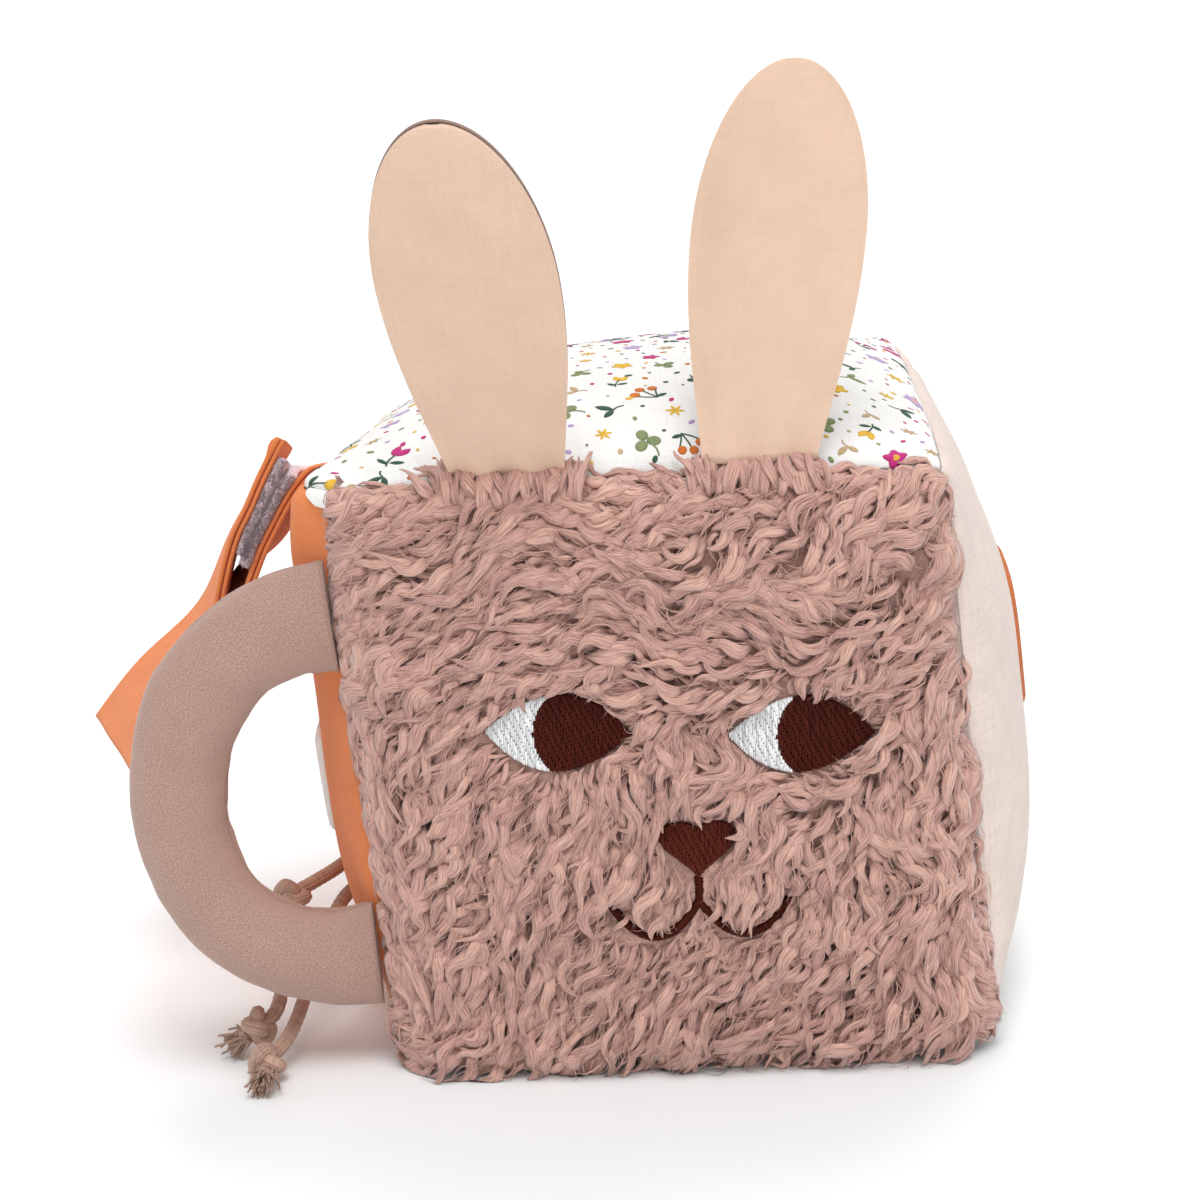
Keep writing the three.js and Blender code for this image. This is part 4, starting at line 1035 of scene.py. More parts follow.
def bud(colour):
    """A cup-shaped bud on a stem with two leaves."""
    foot, stem, bend = -0.0036, 0.0042, 0.0003
    cup_shift, cup_start, cup_length, cup_width, cup_turn = 0.0002, 0.0004, 0.0034, 0.0017, 0.35
    right_start, left_start, leaf_length, leaf_width, leaf_turn = -0.0022, -0.0028, 0.0026, 0.0011, 0.5
    upright = math.pi / 2
    return [
        ("green", stem_shape(0, foot, stem, bend, upright)),
        (colour, leaf_shape(-cup_shift, cup_start, cup_length, cup_width, upright + cup_turn)),
        (colour, leaf_shape(cup_shift, cup_start, cup_length, cup_width, upright - cup_turn)),
        ("green", leaf_shape(0, right_start, leaf_length, leaf_width, leaf_turn)),
        ("green", leaf_shape(0, left_start, leaf_length, leaf_width, math.pi - leaf_turn)),
    ]


def berries(colour):
    """Three berries on a forked stem."""
    fork, bend, berry_radius = 0.0022, 0.0002, 0.00095
    leaf_start, leaf_length, leaf_width, leaf_turn = -0.0018, 0.0022, 0.001, -0.2
    parts = []
    for x, y, turn in ((-0.0021, 0.0016, 2.25), (0.0, 0.0026, 1.57), (0.0020, 0.0014, 0.95)):
        parts.append(("green", stem_shape(0, -fork, math.hypot(x, y + fork), bend, turn - 0.05)))
        parts.append((colour, round_shape(x, y, berry_radius)))
    parts.append(("green", leaf_shape(0, leaf_start, leaf_length, leaf_width, leaf_turn)))
    return parts


def clover(colour):
    """Three round leaves on a bent stem."""
    reach, radius, stem_start, stem, bend = 0.0014, 0.00115, -0.0004, 0.0034, 0.0005
    leaves = [
        (colour, round_shape(reach * math.cos(turn), reach * math.sin(turn), radius, 2, 0.1, turn=turn))
        for turn in (math.pi / 2, math.pi * 7 / 6, math.pi * 11 / 6)
    ]
    return leaves + [(colour, stem_shape(0, stem_start, stem, bend, -1.4))]


def star(colour):
    """A small star of thin strokes."""
    length, width = 0.0018, 0.0006
    return [(colour, leaf_shape(0, 0, length, width, turn)) for turn in np.arange(6) * math.pi / 3]


def leaf_pair(colour):
    """Two curved leaves on one short stem."""
    right, left, stem, bend = (0.0036, 0.0015), (0.0030, 0.0013), 0.0022, 0.0003
    return [
        (colour, leaf_shape(0, 0, *right, 0.75)),
        (colour, leaf_shape(0, 0, *left, 2.2)),
        (colour, stem_shape(0, 0, stem, bend, -1.3)),
    ]


def motifs():
    return [
        blossom("magenta", "yellow"), clover("green"), bud("orange"), berries("magenta"),
        blossom("yellow", "orange"), leaf_pair("green"), blossom("lilac", "yellow"), clover("sage"),
        berries("orange"), bud("yellow"), leaf_pair("sage"), star("yellow"),
        bud("magenta"), berries("lilac"), star("tan"), leaf_pair("tan"),
    ]


def scattered(chance, half_side, half_rise, distance, taken, tries):
    """Places at least a distance from each other and from those taken."""
    found = []
    for _ in range(tries):
        point = chance.uniform((-half_side, -half_rise), (half_side, half_rise))
        if all(math.hypot(*(point - other)) > distance for other in found):
            if all(math.hypot(*(point - other)) > reach for other, reach in taken):
                found.append(point)
    return found


def printed_shape(shape, place, turn, size):
    """A thin closed flake of print on the top's cloth."""
    middle, outline = shape
    panel = panels["top"]
    turned = turned_by(turn) * size
    if isinstance(middle, str):
        grid = outline @ turned.T + place
        outer = panel.at(grid[..., 0], grid[..., 1], print_lift)
        inner = panel.at(grid[..., 0], grid[..., 1], print_lift / 3)
        points, quads = slab(outer, inner)
        flat = np.concatenate([grid.reshape(-1, 2)] * 2)
    else:
        rings = [middle + (outline - middle) * share for share in (0.03, 1.0, 1.0, 0.55, 0.03)]
        heights = (print_lift / 3, print_lift / 3, print_lift, print_lift * 1.3, print_lift * 1.3)
        rings = [ring @ turned.T + place for ring in rings]
        layers = [panel.at(ring[:, 0], ring[:, 1], height) for ring, height in zip(rings, heights)]
        points, flat = (
            np.concatenate(grid + [grid[0].mean(axis=0)[None], grid[-1].mean(axis=0)[None]])
            for grid in (layers, rings)
        )
        quads = facing_out(points, closed_ends(len(rings), len(outline)))
    marks = np.concatenate([flat, np.zeros((len(flat), 1))], axis=1)
    return points, quads, marks


def add_print():
    """The scatter of motifs over the top, one piece for each colour."""
    chance = np.random.default_rng(51)
    top = panels["top"]
    half_side, half_rise = top.side[-1] - print_margin, top.rise[-1] - print_margin
    kinds = motifs()
    flakes = {colour: [] for colour in print_colours}
    places = scattered(chance, half_side, half_rise, motif_distance, [], 5000)
    last = -1
    for place in places:
        kind = int(chance.integers(len(kinds)))
        kind = (kind + 1) % len(kinds) if kind == last else kind
        last = kind
        turn, size = chance.uniform(0, 2 * math.pi), chance.uniform(0.92, 1.3)
        for colour, shape in kinds[kind]:
            flakes[colour].append(printed_shape(shape, place, turn, size))
    taken = [(place, motif_room) for place in places]
    for place in scattered(chance, half_side, half_rise, speck_distance, taken, 6000):
        colour = chance.choice(list(print_colours))
        shape = round_shape(0, 0, chance.uniform(*speck_radii), 0, 0, chance.uniform(1, 1.8))
        flakes[colour].append(printed_shape(shape, place, chance.uniform(0, math.pi), 1.0))
    for colour, parts in flakes.items():
        points, quads, marks = joined(parts)
        look = cotton(f"print_{colour}", print_colours[colour], slub_share=0.12)
        add_piece(f"print_{colour}", points, quads, look, "block", ["top_panel"], marks)


add_print()


# Embroidery outlines, in distance across the face and height over the floor


def bezier(points, count):
    """Points along a Bezier curve of any degree."""
    share = np.linspace(0, 1, count)[:, None]
    points = [np.array(point, float) for point in points]
    while len(points) > 1:
        points = [a * (1 - share) + b * share for a, b in zip(points, points[1:])]
    return points[0]


def eye_level(across):
    return eye_rise + eye_tilt_share * across


def eye_outline(middle, margin=0.0):
    reach = eye_width / 2 + margin * 2
    half = eye_height + margin * 2
    left = (middle - reach, eye_level(middle - reach))
    right = (middle + reach, eye_level(middle + reach))
    level = eye_level(middle)
    top = bezier([left, (middle + eye_slant, level + half), right], 24)
    low = bezier([right, (middle - eye_slant, level - half), left], 24)
    return np.concatenate([top[:-1], low[:-1]])


def nose_outline(margin=0.0):
    half = nose_width / 2 + margin
    tip = nose_rise - margin * 2
    top = nose_rise + nose_height + margin
    notch = top - nose_height * 0.14 - margin / 2
    crown = top + nose_height * 0.08
    shoulder = nose_rise + nose_height * 0.72
    belly = shoulder - nose_height * 0.25
    flank = tip + nose_height * 0.28
    right, left = nose_shift + half, nose_shift - half
    parts = [
        bezier(points, 14) for points in (
            ((nose_shift, tip), (nose_shift + half * 0.3, flank), (right, belly), (right, shoulder)),
            ((right, shoulder), (right, top), (nose_shift + half * 0.35, crown), (nose_shift, notch)),
            ((nose_shift, notch), (nose_shift - half * 0.35, crown), (left, top), (left, shoulder)),
            ((left, shoulder), (left, belly), (nose_shift - half * 0.3, flank), (nose_shift, tip)),
        )
    ]
    return np.concatenate([part[:-1] for part in parts])


def mouth_arcs():
    fork = nose_rise - philtrum_length
    reach = mouth_width / 2
    lines = [bezier([(nose_shift, nose_rise), (nose_shift, fork)], 8)]
    for side in (-1, 1):
        middle = (nose_shift + side * reach / 2, fork - mouth_drop * 2)
        lines.append(bezier([(nose_shift, fork), middle, (nose_shift + side * reach, fork)], 40))
    return lines


def spans(outline, across):
    """The heights between which a vertical line at a place across lies inside an outline."""
    following = np.roll(outline, -1, axis=0)
    crossings = []
    for (x0, z0), (x1, z1) in zip(outline, following):
        if (x0 > across) != (x1 > across):
            crossings.append(z0 + (z1 - z0) * (across - x0) / (x1 - x0))
    crossings.sort()
    return list(zip(crossings[::2], crossings[1::2]))


def inside(outline, points):
    """Whether points lie inside an outline."""
    following = np.roll(outline, -1, axis=0)
    found = np.zeros(len(points), bool)
    for (x0, z0), (x1, z1) in zip(outline, following):
        if x0 == x1:
            continue
        straddles = (x0 > points[:, 0]) != (x1 > points[:, 0])
        height = z0 + (z1 - z0) * (points[:, 0] - x0) / (x1 - x0)
        found ^= straddles & (points[:, 1] < height)
    return found


thread_pitch = 0.00042
thread_radius_share = 0.56
stitch_length = 0.0031
stitch_shares = np.array([0.0, 0.12, 0.5, 0.88, 1.0])
stitch_heights = np.array([-0.00032, 0.0, 0.00008, 0.0, -0.00032])
stitch_widths = np.array([0.55, 1, 1, 1, 0.55])
stitch_end_gap = 0.0007
shortest_stitch = 0.0006
stitch_wander = 0.00004
stitch_bend = 0.00003
pad_rings = ((1.0, 0.85), (0.93, 1.0), (0.6, 1.0), (0.02, 1.0))
pad_hub_share = 0.02
pad_sink = 0.0004
pad_inset = 0.0002
shortest_column = 0.0008
mouth_shares = np.array([-1, -0.7, 0, 0.7, 1])
mouth_heights = np.array([-0.0007, -0.0001, 0.00015, -0.0001, -0.0007])
mouth_slant = 0.0002


def fill_stitches(regions, chance):
    """Upright stitches side by side, given as (across, [(low, high), ...]) for each column."""
    parts = []
    for index, (across, heights) in enumerate(regions):
        offset = (index * 5 % 7) / 7 * stitch_length
        for low, high in heights:
            if high - low < shortest_stitch:
                continue
            first = math.floor((low - offset) / stitch_length) * stitch_length + offset
            cuts = np.arange(first, high, stitch_length)
            cuts = cuts[(cuts > low + stitch_end_gap) & (cuts < high - stitch_end_gap)]
            cuts = np.concatenate([[low], cuts, [high]])
            for start, end in zip(cuts, cuts[1:]):
                rise = start + (end - start) * stitch_shares
                wander = across + chance.normal(0, stitch_wander) + chance.normal(0, stitch_bend, 5)
                line = on_face(wander, rise, embroidery_rise + stitch_heights)
                radius = thread_pitch * thread_radius_share * stitch_widths
                points, quads, marks = tube(line, radius, 6, flatten=0.8, seed_direction=(0, -1, 0))
                marks[:, 2] = chance.uniform(0, 1)
                parts.append((points, quads, marks))
    return parts


def pad(outline, lowest, highest):
    """A closed pad under the stitches: an outline drawn up from the cloth."""
    middle = outline.mean(axis=0)
    levels = [(pad_hub_share, lowest), (1.0, lowest)]
    levels += [(share, highest * rise_share) for share, rise_share in pad_rings]
    rings = []
    for share, height in levels:
        ring = middle + (outline - middle) * share
        rings.append(on_face(ring[:, 0], ring[:, 1], height))
    points = np.stack(rings)
    hubs = np.stack([points[0].mean(axis=0), points[-1].mean(axis=0)])
    flat = np.concatenate([points.reshape(-1, 3), hubs])
    return flat, facing_out(flat, closed_ends(*points.shape[:2])), np.zeros((len(flat), 3))


def pad_outline(columns):
    """The outline round a row of stitched columns."""
    top, low = [], []
    for across, heights in columns:
        lowest = min((span[0] for span in heights), default=0)
        highest = max((span[1] for span in heights), default=0)
        if highest - lowest > shortest_column:
            top.append((across, highest - pad_inset))
            low.append((across, lowest + pad_inset))
    return np.array(top + low[::-1])


def columns_in(outline):
    low, high = outline[:, 0].min(), outline[:, 0].max()
    return np.arange(low + thread_pitch / 2, high, thread_pitch)


def add_stitched(name, parts, look, node_name):
    points, quads, marks = joined(parts)
    add_piece(f"stitched_{name}", points, quads, looks[look], "block", [node_name], marks)


def eye_columns(outline, pupil_middle):
    """The stitched columns of an eye: those of its white part and those of its pupil."""
    pupil_level = eye_level(pupil_middle)
    white, brown = [], []
    for across in columns_in(outline):
        heights = spans(outline, across)
        off = abs(across - pupil_middle)
        if off < pupil_radius:
            half = math.sqrt(pupil_radius ** 2 - off ** 2)
            low, high = pupil_level - half, pupil_level + half
            brown.append((across, [(max(a, low), min(b, high)) for a, b in heights]))
            if across < pupil_middle:
                rest = [(a, min(b, low)) for a, b in heights] + [(max(a, high), b) for a, b in heights]
                white.append((across, [span for span in rest if span[1] > span[0]]))
        elif across < pupil_middle:
            white.append((across, heights))
        else:
            brown.append((across, heights))
    return white, brown


def add_eyes():
    """Satin-stitched eyes: a white part on the left of each almond, and a brown pupil."""
    chance = np.random.default_rng(21)
    for side, middle in eye_middles.items():
        white, brown = eye_columns(eye_outline(middle), middle + pupil_shift)
        for name, columns, look in (("white", white, "white_thread"), ("pupil", brown, "brown_thread")):
            under = pad(pad_outline(columns), clearance, embroidery_rise - pad_sink)
            parts = [under] + fill_stitches(columns, chance)
            add_stitched(f"{name}_{side}", parts, look, f"eye_{name}_{side}")


def add_nose(chance):
    """The heart nose."""
    outline = nose_outline()
    columns = [(across, spans(outline, across)) for across in columns_in(outline)]
    under = pad(outline * 0.97 + outline.mean(axis=0) * 0.03, clearance, embroidery_rise - pad_sink)
    parts = [under] + fill_stitches(columns, chance)
    # The nose takes the lighter copy of the brown thread: painted light.
    add_stitched("nose", parts, "lit_nose_thread", "nose_embroidery")


def add_mouth(chance):
    """The line under the nose and the two arcs, each of close stitches across it."""
    parts = []
    for line in mouth_arcs():
        length = run_lengths(line)
        places = np.arange(0, length[-1], thread_pitch * 0.9)
        x, z = np.interp(places, length, line[:, 0]), np.interp(places, length, line[:, 1])
        heading = unit(np.stack([np.gradient(x), np.gradient(z)], axis=1))
        across = np.stack([-heading[:, 1], heading[:, 0]], axis=1)
        for index in range(len(places)):
            half = stitch_width / 2 * chance.uniform(0.8, 1.12)
            slant = heading[index] * chance.normal(0, mouth_slant)
            flat = np.array([x[index], z[index]]) + mouth_shares[:, None] * (across[index] * half + slant)
            drawn = on_face(flat[:, 0], flat[:, 1], embroidery_rise + mouth_heights)
            points, quads, marks = tube(drawn, thread_pitch * 0.6, 5, seed_direction=(0, -1, 0))
            marks[:, 2] = chance.uniform(0, 1)
            parts.append((points, quads, marks))
        base = on_face(x, z, embroidery_rise / 2)
        thickness = embroidery_rise / 2 - clearance / 2
        parts.append(tube(base, thickness, 8, flatten=0.9, seed_direction=(0, -1, 0)))
    add_stitched("mouth", parts, "brown_thread", "mouth_stitching")


add_eyes()
nose_chance = np.random.default_rng(22)
add_nose(nose_chance)
add_mouth(nose_chance)


# Plush: thousands of curled locks on the face


lock_sides = 14
lock_rings = 11
hair_sides = 4
lock_ranges = {
    "lean": (0.1, 0.4),
    "wave": (0.25, 0.65),
    "turns": (0.7, 1.15),
    "phase": (0, 1),
    "hook": (0.5, 1.15),
    "length": (0.0105, 0.0180),
    "radius": (0.00085, 0.00165),
    "flat": (0.42, 0.62),
    "height": (0.0022, 0.0062),
    "tip": (0.55, 1.15),
    "tone": (0, 1),
    "lobe": (0, 2 * math.pi),
    "twist": (-38, 38),
}
least_grooves, most_grooves = 5, 9
lock_turn_spread = 0.14
hooked_share = {"least": 0.12, "curled": 0.35}
hook_start_share = 0.35
# lit_height sets how high over the cloth the locks' painted shade reaches.
lock_form = {
    "edge_run": 0.010, "full_length": 0.008, "hem_start": 0.016, "hem_run": 0.014, "base": 0.0004,
    "least_height": 0.0002, "floor_gap": 0.0003, "lit_height": 0.0060,
}
overhang = {"right": 0.0008, "left": 0.0016, "above": 0.0045, "below": 0.0036}
# The pile's heading in degrees, and how the turns away from it are spread over the face
flow = {
    "top": 198, "low_turn": 48, "left_turn": 62, "left_share": 0.09, "bottom_turn": 24, "right_turn": 40,
    "right_share": 0.08, "broad_turn": 26, "least_curl": 14, "curl": 62, "broad_wave": 0.017,
    "curl_wave": 0.0095,
}

lock_layout = {"spacing": 0.0026, "margin": 0.0012}
mouth_cut_shares = {"length": 0.5, "height": 0.3, "radius": 0.3}
mouth_room = {"start": 0.002, "run": 0.006}
under_layout = {
    "spacing": 0.0034, "margin": 0.0008, "size_share": 0.62, "turn": 0.15, "height": (0.0012, 0.0060),
}
stitching_gaps = {"eye": -0.0001, "nose": 0.0004, "mouth": 0.0009}
collar_layout = {
    "spacing": 0.0012, "gap": 0.0002, "second_gap": 0.0018, "jitter": 0.0002, "size_share": 0.5,
    "height": (0.0024, 0.0036),
}
collar_mouth_offsets = (-0.0024, -0.0046, 0.0024)
shortest_lock = 0.0022
shortest_tuft = 0.0016
fringe_layout = {
    "spacing": 0.0019, "jitter": 0.0009, "size_share": 0.6, "top": 0.0004, "second": 0.0024,
    "right": 0.0012, "left": 0.0020, "low": 0.0045, "lowest": 0.0015,
}
crest_layout = {
    "spacing": 0.0013, "half_share": 0.6, "rows": ((0.0005, -1.5), (0.0020, -1.1), (0.0035, -1.9)),
    "jitter": (0.0006, 0.0008), "size_share": 0.62, "height": (0.0075, 0.0140),
}
hair_layout = {
    "spacing": 0.0027, "size_share": 0.85, "turn": 0.22, "radius": (0.00008, 0.00012),
    "height": (0.0046, 0.0070),
}
bed = {
    "steps": 130, "base": 0.0005, "pile": 0.0017, "bump": 0.0005, "bump_wave": 0.0016, "edge_run": 0.006,
    "under": 0.0002, "outer_floor_gap": 0.0003, "inner_floor_gap": 0.0002, "flow_turn": 4.0,
}


def eased(value, start, run):
    """0 up to a start, 1 from a run after it, and eased between them."""
    return ease((value - start) / run)


def curliness(side, rise):
    """How much the pile curls: most round the eyes and right of them."""
    down = (half_height - rise) / (2 * half_height)
    across = (side + half_width) / (2 * half_width)
    return eased(across, 0.32, 0.25) * (1 - eased(down, 0.5, 0.3)) * eased(down, -0.05, 0.2)


def flow_heading(side, rise):
    """The way the pile is brushed: leftward on top of the face, downward below and at the left."""
    down = np.clip((half_height - rise) / (2 * half_height), 0, 1)
    across = np.clip((side + half_width) / (2 * half_width), 0, 1)
    heading = flow["top"] + flow["low_turn"] * eased(down, 0.22, 0.42)
    leftmost = flow["left_turn"] * np.exp(-across / flow["left_share"]) * eased(down, 0.04, 0.16)
    heading = heading + leftmost * (1 - eased(down, 0.84, 0.12))
    rightmost = flow["right_turn"] * np.exp(-(1 - across) / flow["right_share"])
    heading = heading - flow["bottom_turn"] * eased(down, 0.88, 0.12) + rightmost
    place = np.stack([side, rise, np.zeros_like(side)], axis=-1).reshape(-1, 3)
    broad = ripple(place, flow["broad_wave"], 301).reshape(side.shape)
    curls = ripple(place, flow["curl_wave"], 302).reshape(side.shape)
    curl = flow["least_curl"] + flow["curl"] * curliness(side, rise)
    return np.radians(heading + flow["broad_turn"] * broad + curl * curls)


def lock_courses(locks, length):
    """The line that each lock follows over the face: places across and up, and headings, ring by ring."""
    side, rise = locks["side"], locks["rise"]
    courses = []
    for share in np.linspace(0, 1, lock_rings):
        heading = (
            flow_heading(side, rise) + locks["turned"] + locks["lean"] * math.cos(math.pi * share)
            + locks["wave"] * np.sin(2 * math.pi * (locks["turns"] * share + locks["phase"]))
            + locks["hook"] * max(0.0, share - hook_start_share) ** 1.5
        )
        courses.append((side, rise, heading))
        side = side + np.cos(heading) * length / (lock_rings - 1)
        rise = rise + np.sin(heading) * length / (lock_rings - 1)
    return (np.stack(values, axis=1) for values in zip(*courses))


def loose_locks(side, rise, chance, size=1.0, turned=0.0):
    """Flat, pointed locks, each with its own curve, twist and height over the cloth."""
    count = len(side)

    def drawn(key):
        return chance.uniform(*lock_ranges[key], count)

    flip = chance.choice([-1.0, 1.0], count)
    likely = hooked_share["least"] + hooked_share["curled"] * curliness(side, rise)
    hooked = chance.uniform(0, 1, count) < likely
    return {
        "side": side,
        "rise": rise,
        "turned": chance.normal(0, lock_turn_spread, count) + turned,
        "lean": drawn("lean") * chance.choice([-1.0, 1.0], count),
        "wave": drawn("wave"),
        "turns": drawn("turns"),
        "phase": drawn("phase"),
        "hook": flip * np.where(hooked, 3.2, 0.8) * drawn("hook"),
        "length": drawn("length") * size,
        "radius": drawn("radius") * size ** 0.6,
        "flat": drawn("flat"),
        "root": np.full(count, 0.1),
        "height": drawn("height") * size ** 0.6,
        "tip": drawn("tip"),
        "tone": drawn("tone"),
        "lobe": drawn("lobe"),
        "grooves": chance.integers(least_grooves, most_grooves, count),
        "twist": np.radians(drawn("twist")),
    }


def kept_off(locks, lengths):
    """Lengths at which no lock runs over the stitched eyes, nose and mouth."""
    shapes = [eye_outline(middle, stitching_gaps["eye"]) for middle in eye_middles.values()]
    shapes.append(nose_outline(stitching_gaps["nose"]))
    lines = np.concatenate([line[::3] for line in mouth_arcs()])
    side, rise, _ = lock_courses(locks, lengths)
    height = rise + middle_rise
    flat = np.stack([side - lean_share * height, height], axis=-1)
    reach = locks["radius"][:, None, None] * 0.55
    hit = np.zeros(side.shape, bool)
    for shape in shapes:
        middle = shape.mean(axis=0)
        inward = middle - flat
        nearer = flat + inward / np.linalg.norm(inward, axis=-1, keepdims=True) * reach
        hit |= inside(shape, nearer.reshape(-1, 2)).reshape(side.shape)
    gap = np.full(side.shape, 1.0)
    for point in lines:
        gap = np.minimum(gap, np.linalg.norm(flat - point, axis=-1))
    hit |= gap < stitching_gaps["mouth"] + locks["radius"][:, None] * 0.28
    first = np.where(hit.any(axis=1), hit.argmax(axis=1), lock_rings)
    share = np.where(first < lock_rings, np.maximum(first - 0.75, 0) / (lock_rings - 1), 1.0)
    return lengths * share


def kept_near(side, rise):
    """Locks shifted back so that none hangs out past the seams by more than its edge's overhang."""
    front = panels["front"]
    right = np.maximum(side - front.side[-1] - overhang["right"], 0).max(axis=1, keepdims=True)
    left = np.minimum(side - front.side[0] + overhang["left"], 0).min(axis=1, keepdims=True)
    above = np.maximum(rise - front.rise[-1] - overhang["above"], 0).max(axis=1, keepdims=True)
    below = np.minimum(rise - front.rise[0] + overhang["below"], 0).min(axis=1, keepdims=True)
    return side - right - left, rise - above - below


def lock_heights(locks, lengths, side, rise, share):
    """How high the middle of each lock lies over the cloth, and how far the seams hold it down."""
    front = panels["front"]
    edge = np.minimum(front.side[-1] - np.abs(side), front.rise[-1] - rise)
    held = 0.34 + 0.66 * ease(edge / lock_form["edge_run"])
    root = locks["root"][:, None]
    climb = root + (1 - root) * ease(share / 0.34)
    fall = 1 - (1 - locks["tip"][:, None]) * eased(share, 0.45, 0.55)
    full = 1 + 0.6 * ease((front.rise[0] + lock_form["hem_start"] - rise) / lock_form["hem_run"])
    small = small_share(lengths)
    return locks["height"][:, None] * climb * fall * small * held * full + lock_form["base"], held


def small_share(lengths):
    """1 for a long lock, and less for one that is cut short."""
    return np.clip(lengths / lock_form["full_length"], 0.35, 1)[:, None]


def lock_mesh(locks, lengths, sides):
    """Closed, tapering locks of flat section: points, faces, marks, and each point's share of painted shade,
    darker low over the cloth and at each lock's sides.
    """
    side, rise, heading = lock_courses(locks, lengths)
    side, rise = kept_near(side, rise)
    share = np.linspace(0, 1, lock_rings)[None, :]
    height, held = lock_heights(locks, lengths, side, rise, share)
    profile = np.sin(math.pi * (share * 0.93 + 0.03) ** 0.72) ** 0.85
    radius = locks["radius"][:, None] * profile * small_share(lengths) ** 0.5
    angle = np.arange(sides) * 2 * math.pi / sides
    flat, grooves, lobe, tone, thickest, twisted = (
        locks[key][:, None, None] for key in ("flat", "grooves", "lobe", "tone", "radius", "twist")
    )
    ridge = 1 + 0.09 * np.cos(grooves * angle + lobe)
    twist = twisted * (share[..., None] * 1.6 - 0.5)
    wide = radius[..., None] * np.cos(angle) * ridge
    thick = radius[..., None] * flat * np.sin(angle) * ridge
    aside = wide * np.cos(twist) - thick * np.sin(twist)
    lift = wide * np.sin(twist) + thick * np.cos(twist)
    x = side[..., None] - np.sin(heading)[..., None] * aside
    z = rise[..., None] + np.cos(heading)[..., None] * aside
    up = np.maximum(height[..., None] + lift, lock_form["least_height"])
    points = panels["front"].at(x, z, up)
    points[..., 2] = np.maximum(points[..., 2], lock_form["floor_gap"])
    count, size = len(side), lock_rings * sides
    marks = np.stack([
        np.broadcast_to(values, x.shape)
        for values in (np.cos(angle) * thickest, (share * lengths[:, None])[..., None], tone)
    ], axis=-1).reshape(count, size, 3)
    # Painted shade: a point is darker the lower it lies over the cloth, scaled by how far the seams hold its
    # lock down, and towards the lock's sides.
    lit = up / (lock_form["lit_height"] * held[..., None]) * (1 - 0.42 * np.abs(np.cos(angle)) ** 3)
    shares = np.broadcast_to(lit, x.shape).reshape(count, size)
    body = points.reshape(count, size, 3)
    hubs = np.stack([points[:, 0].mean(axis=1), points[:, -1].mean(axis=1)], axis=1)
    quads = closed_ends(lock_rings, sides)
    quads = facing_out(np.concatenate([body[0], hubs[0]]), quads)
    all_points = np.concatenate([body, hubs], axis=1).reshape(-1, 3)
    all_marks = np.concatenate([marks, marks[:, [0, -1]]], axis=1).reshape(-1, 3)
    all_shares = np.concatenate([shares, shares[:, [0, -1]]], axis=1).ravel()
    all_quads = (quads[None] + (np.arange(count) * (size + 2))[:, None, None]).reshape(-1, 4)
    return all_points, all_quads, all_marks, all_shares


def strewn(chance, spacing, margin=0.0):
    """Places strewn evenly over the face."""
    front = panels["front"]
    across = np.arange(front.side[0] + margin, front.side[-1] - margin, spacing)
    up = np.arange(front.rise[0] + margin, front.rise[-1] - margin, spacing)
    side, rise = (grid.ravel() for grid in np.meshgrid(across, up))
    side = side + chance.uniform(-0.55, 0.55, side.shape) * spacing
    rise = rise + chance.uniform(-0.55, 0.55, rise.shape) * spacing
    return side, rise


def picked(locks, keep):
    return {key: values[keep] for key, values in locks.items()}


def gathered(parts):
    return {key: np.concatenate([part[key] for part in parts]) for key in parts[0]}


def add_pile(name, points, quads, marks, shares):
    add_piece(name, points, quads, looks["plush"], "block", ["front_pile"], marks, shares)


def add_locks(name, locks, pieces, sides=lock_sides, shortest=shortest_lock):
    """Locks kept off the stitching, as one or more pieces."""
    lengths = kept_off(locks, locks["length"])
    keep = lengths > shortest
    locks, lengths = picked(locks, keep), lengths[keep]
    for index, members in enumerate(np.array_split(np.arange(len(lengths)), pieces)):
        add_pile(f"{name}_{index + 1}", *lock_mesh(picked(locks, members), lengths[members], sides))


def line_places(line, spacing):
    """Places at even steps along a line."""
    length = run_lengths(line)
    steps = np.arange(0, length[-1], spacing)
    return np.stack([np.interp(steps, length, line[:, axis]) for axis in range(2)], axis=1)


def collar_places():
    """Places close round the stitched eyes, nose and mouth, and the way out from each."""
    layout = collar_layout
    rings = []
    for gap in (layout["gap"], layout["gap"] + layout["second_gap"]):
        outlines = [eye_outline(middle, gap) for middle in eye_middles.values()] + [nose_outline(gap)]
        rings += [(np.concatenate([outline, outline[:1]]), outline.mean(axis=0)) for outline in outlines]
    for arc in mouth_arcs():
        middle = arc.mean(axis=0)
        rings += [(arc + (0, offset), middle + (0, offset * -4)) for offset in collar_mouth_offsets]
    places, outward = [], []
    for line, middle in rings:
        found = line_places(line, layout["spacing"])
        places.append(found)
        outward.append(np.arctan2(found[:, 1] - middle[1], found[:, 0] - middle[0]))
    places, outward = np.concatenate(places), np.concatenate(outward)
    return places[:, 0] + lean_share * places[:, 1], places[:, 1] - middle_rise, outward


def near_mouth(side, rise):
    """1 close to the stitched mouth and nose, where the pile is short, and 0 away from it."""
    gap = np.full(side.shape, 1.0)
    height = rise + middle_rise
    for point in np.concatenate([line[::4] for line in mouth_arcs()]):
        gap = np.minimum(gap, np.hypot(side - lean_share * height - point[0], height - point[1]))
    return 1 - eased(gap, mouth_room["start"], mouth_room["run"])


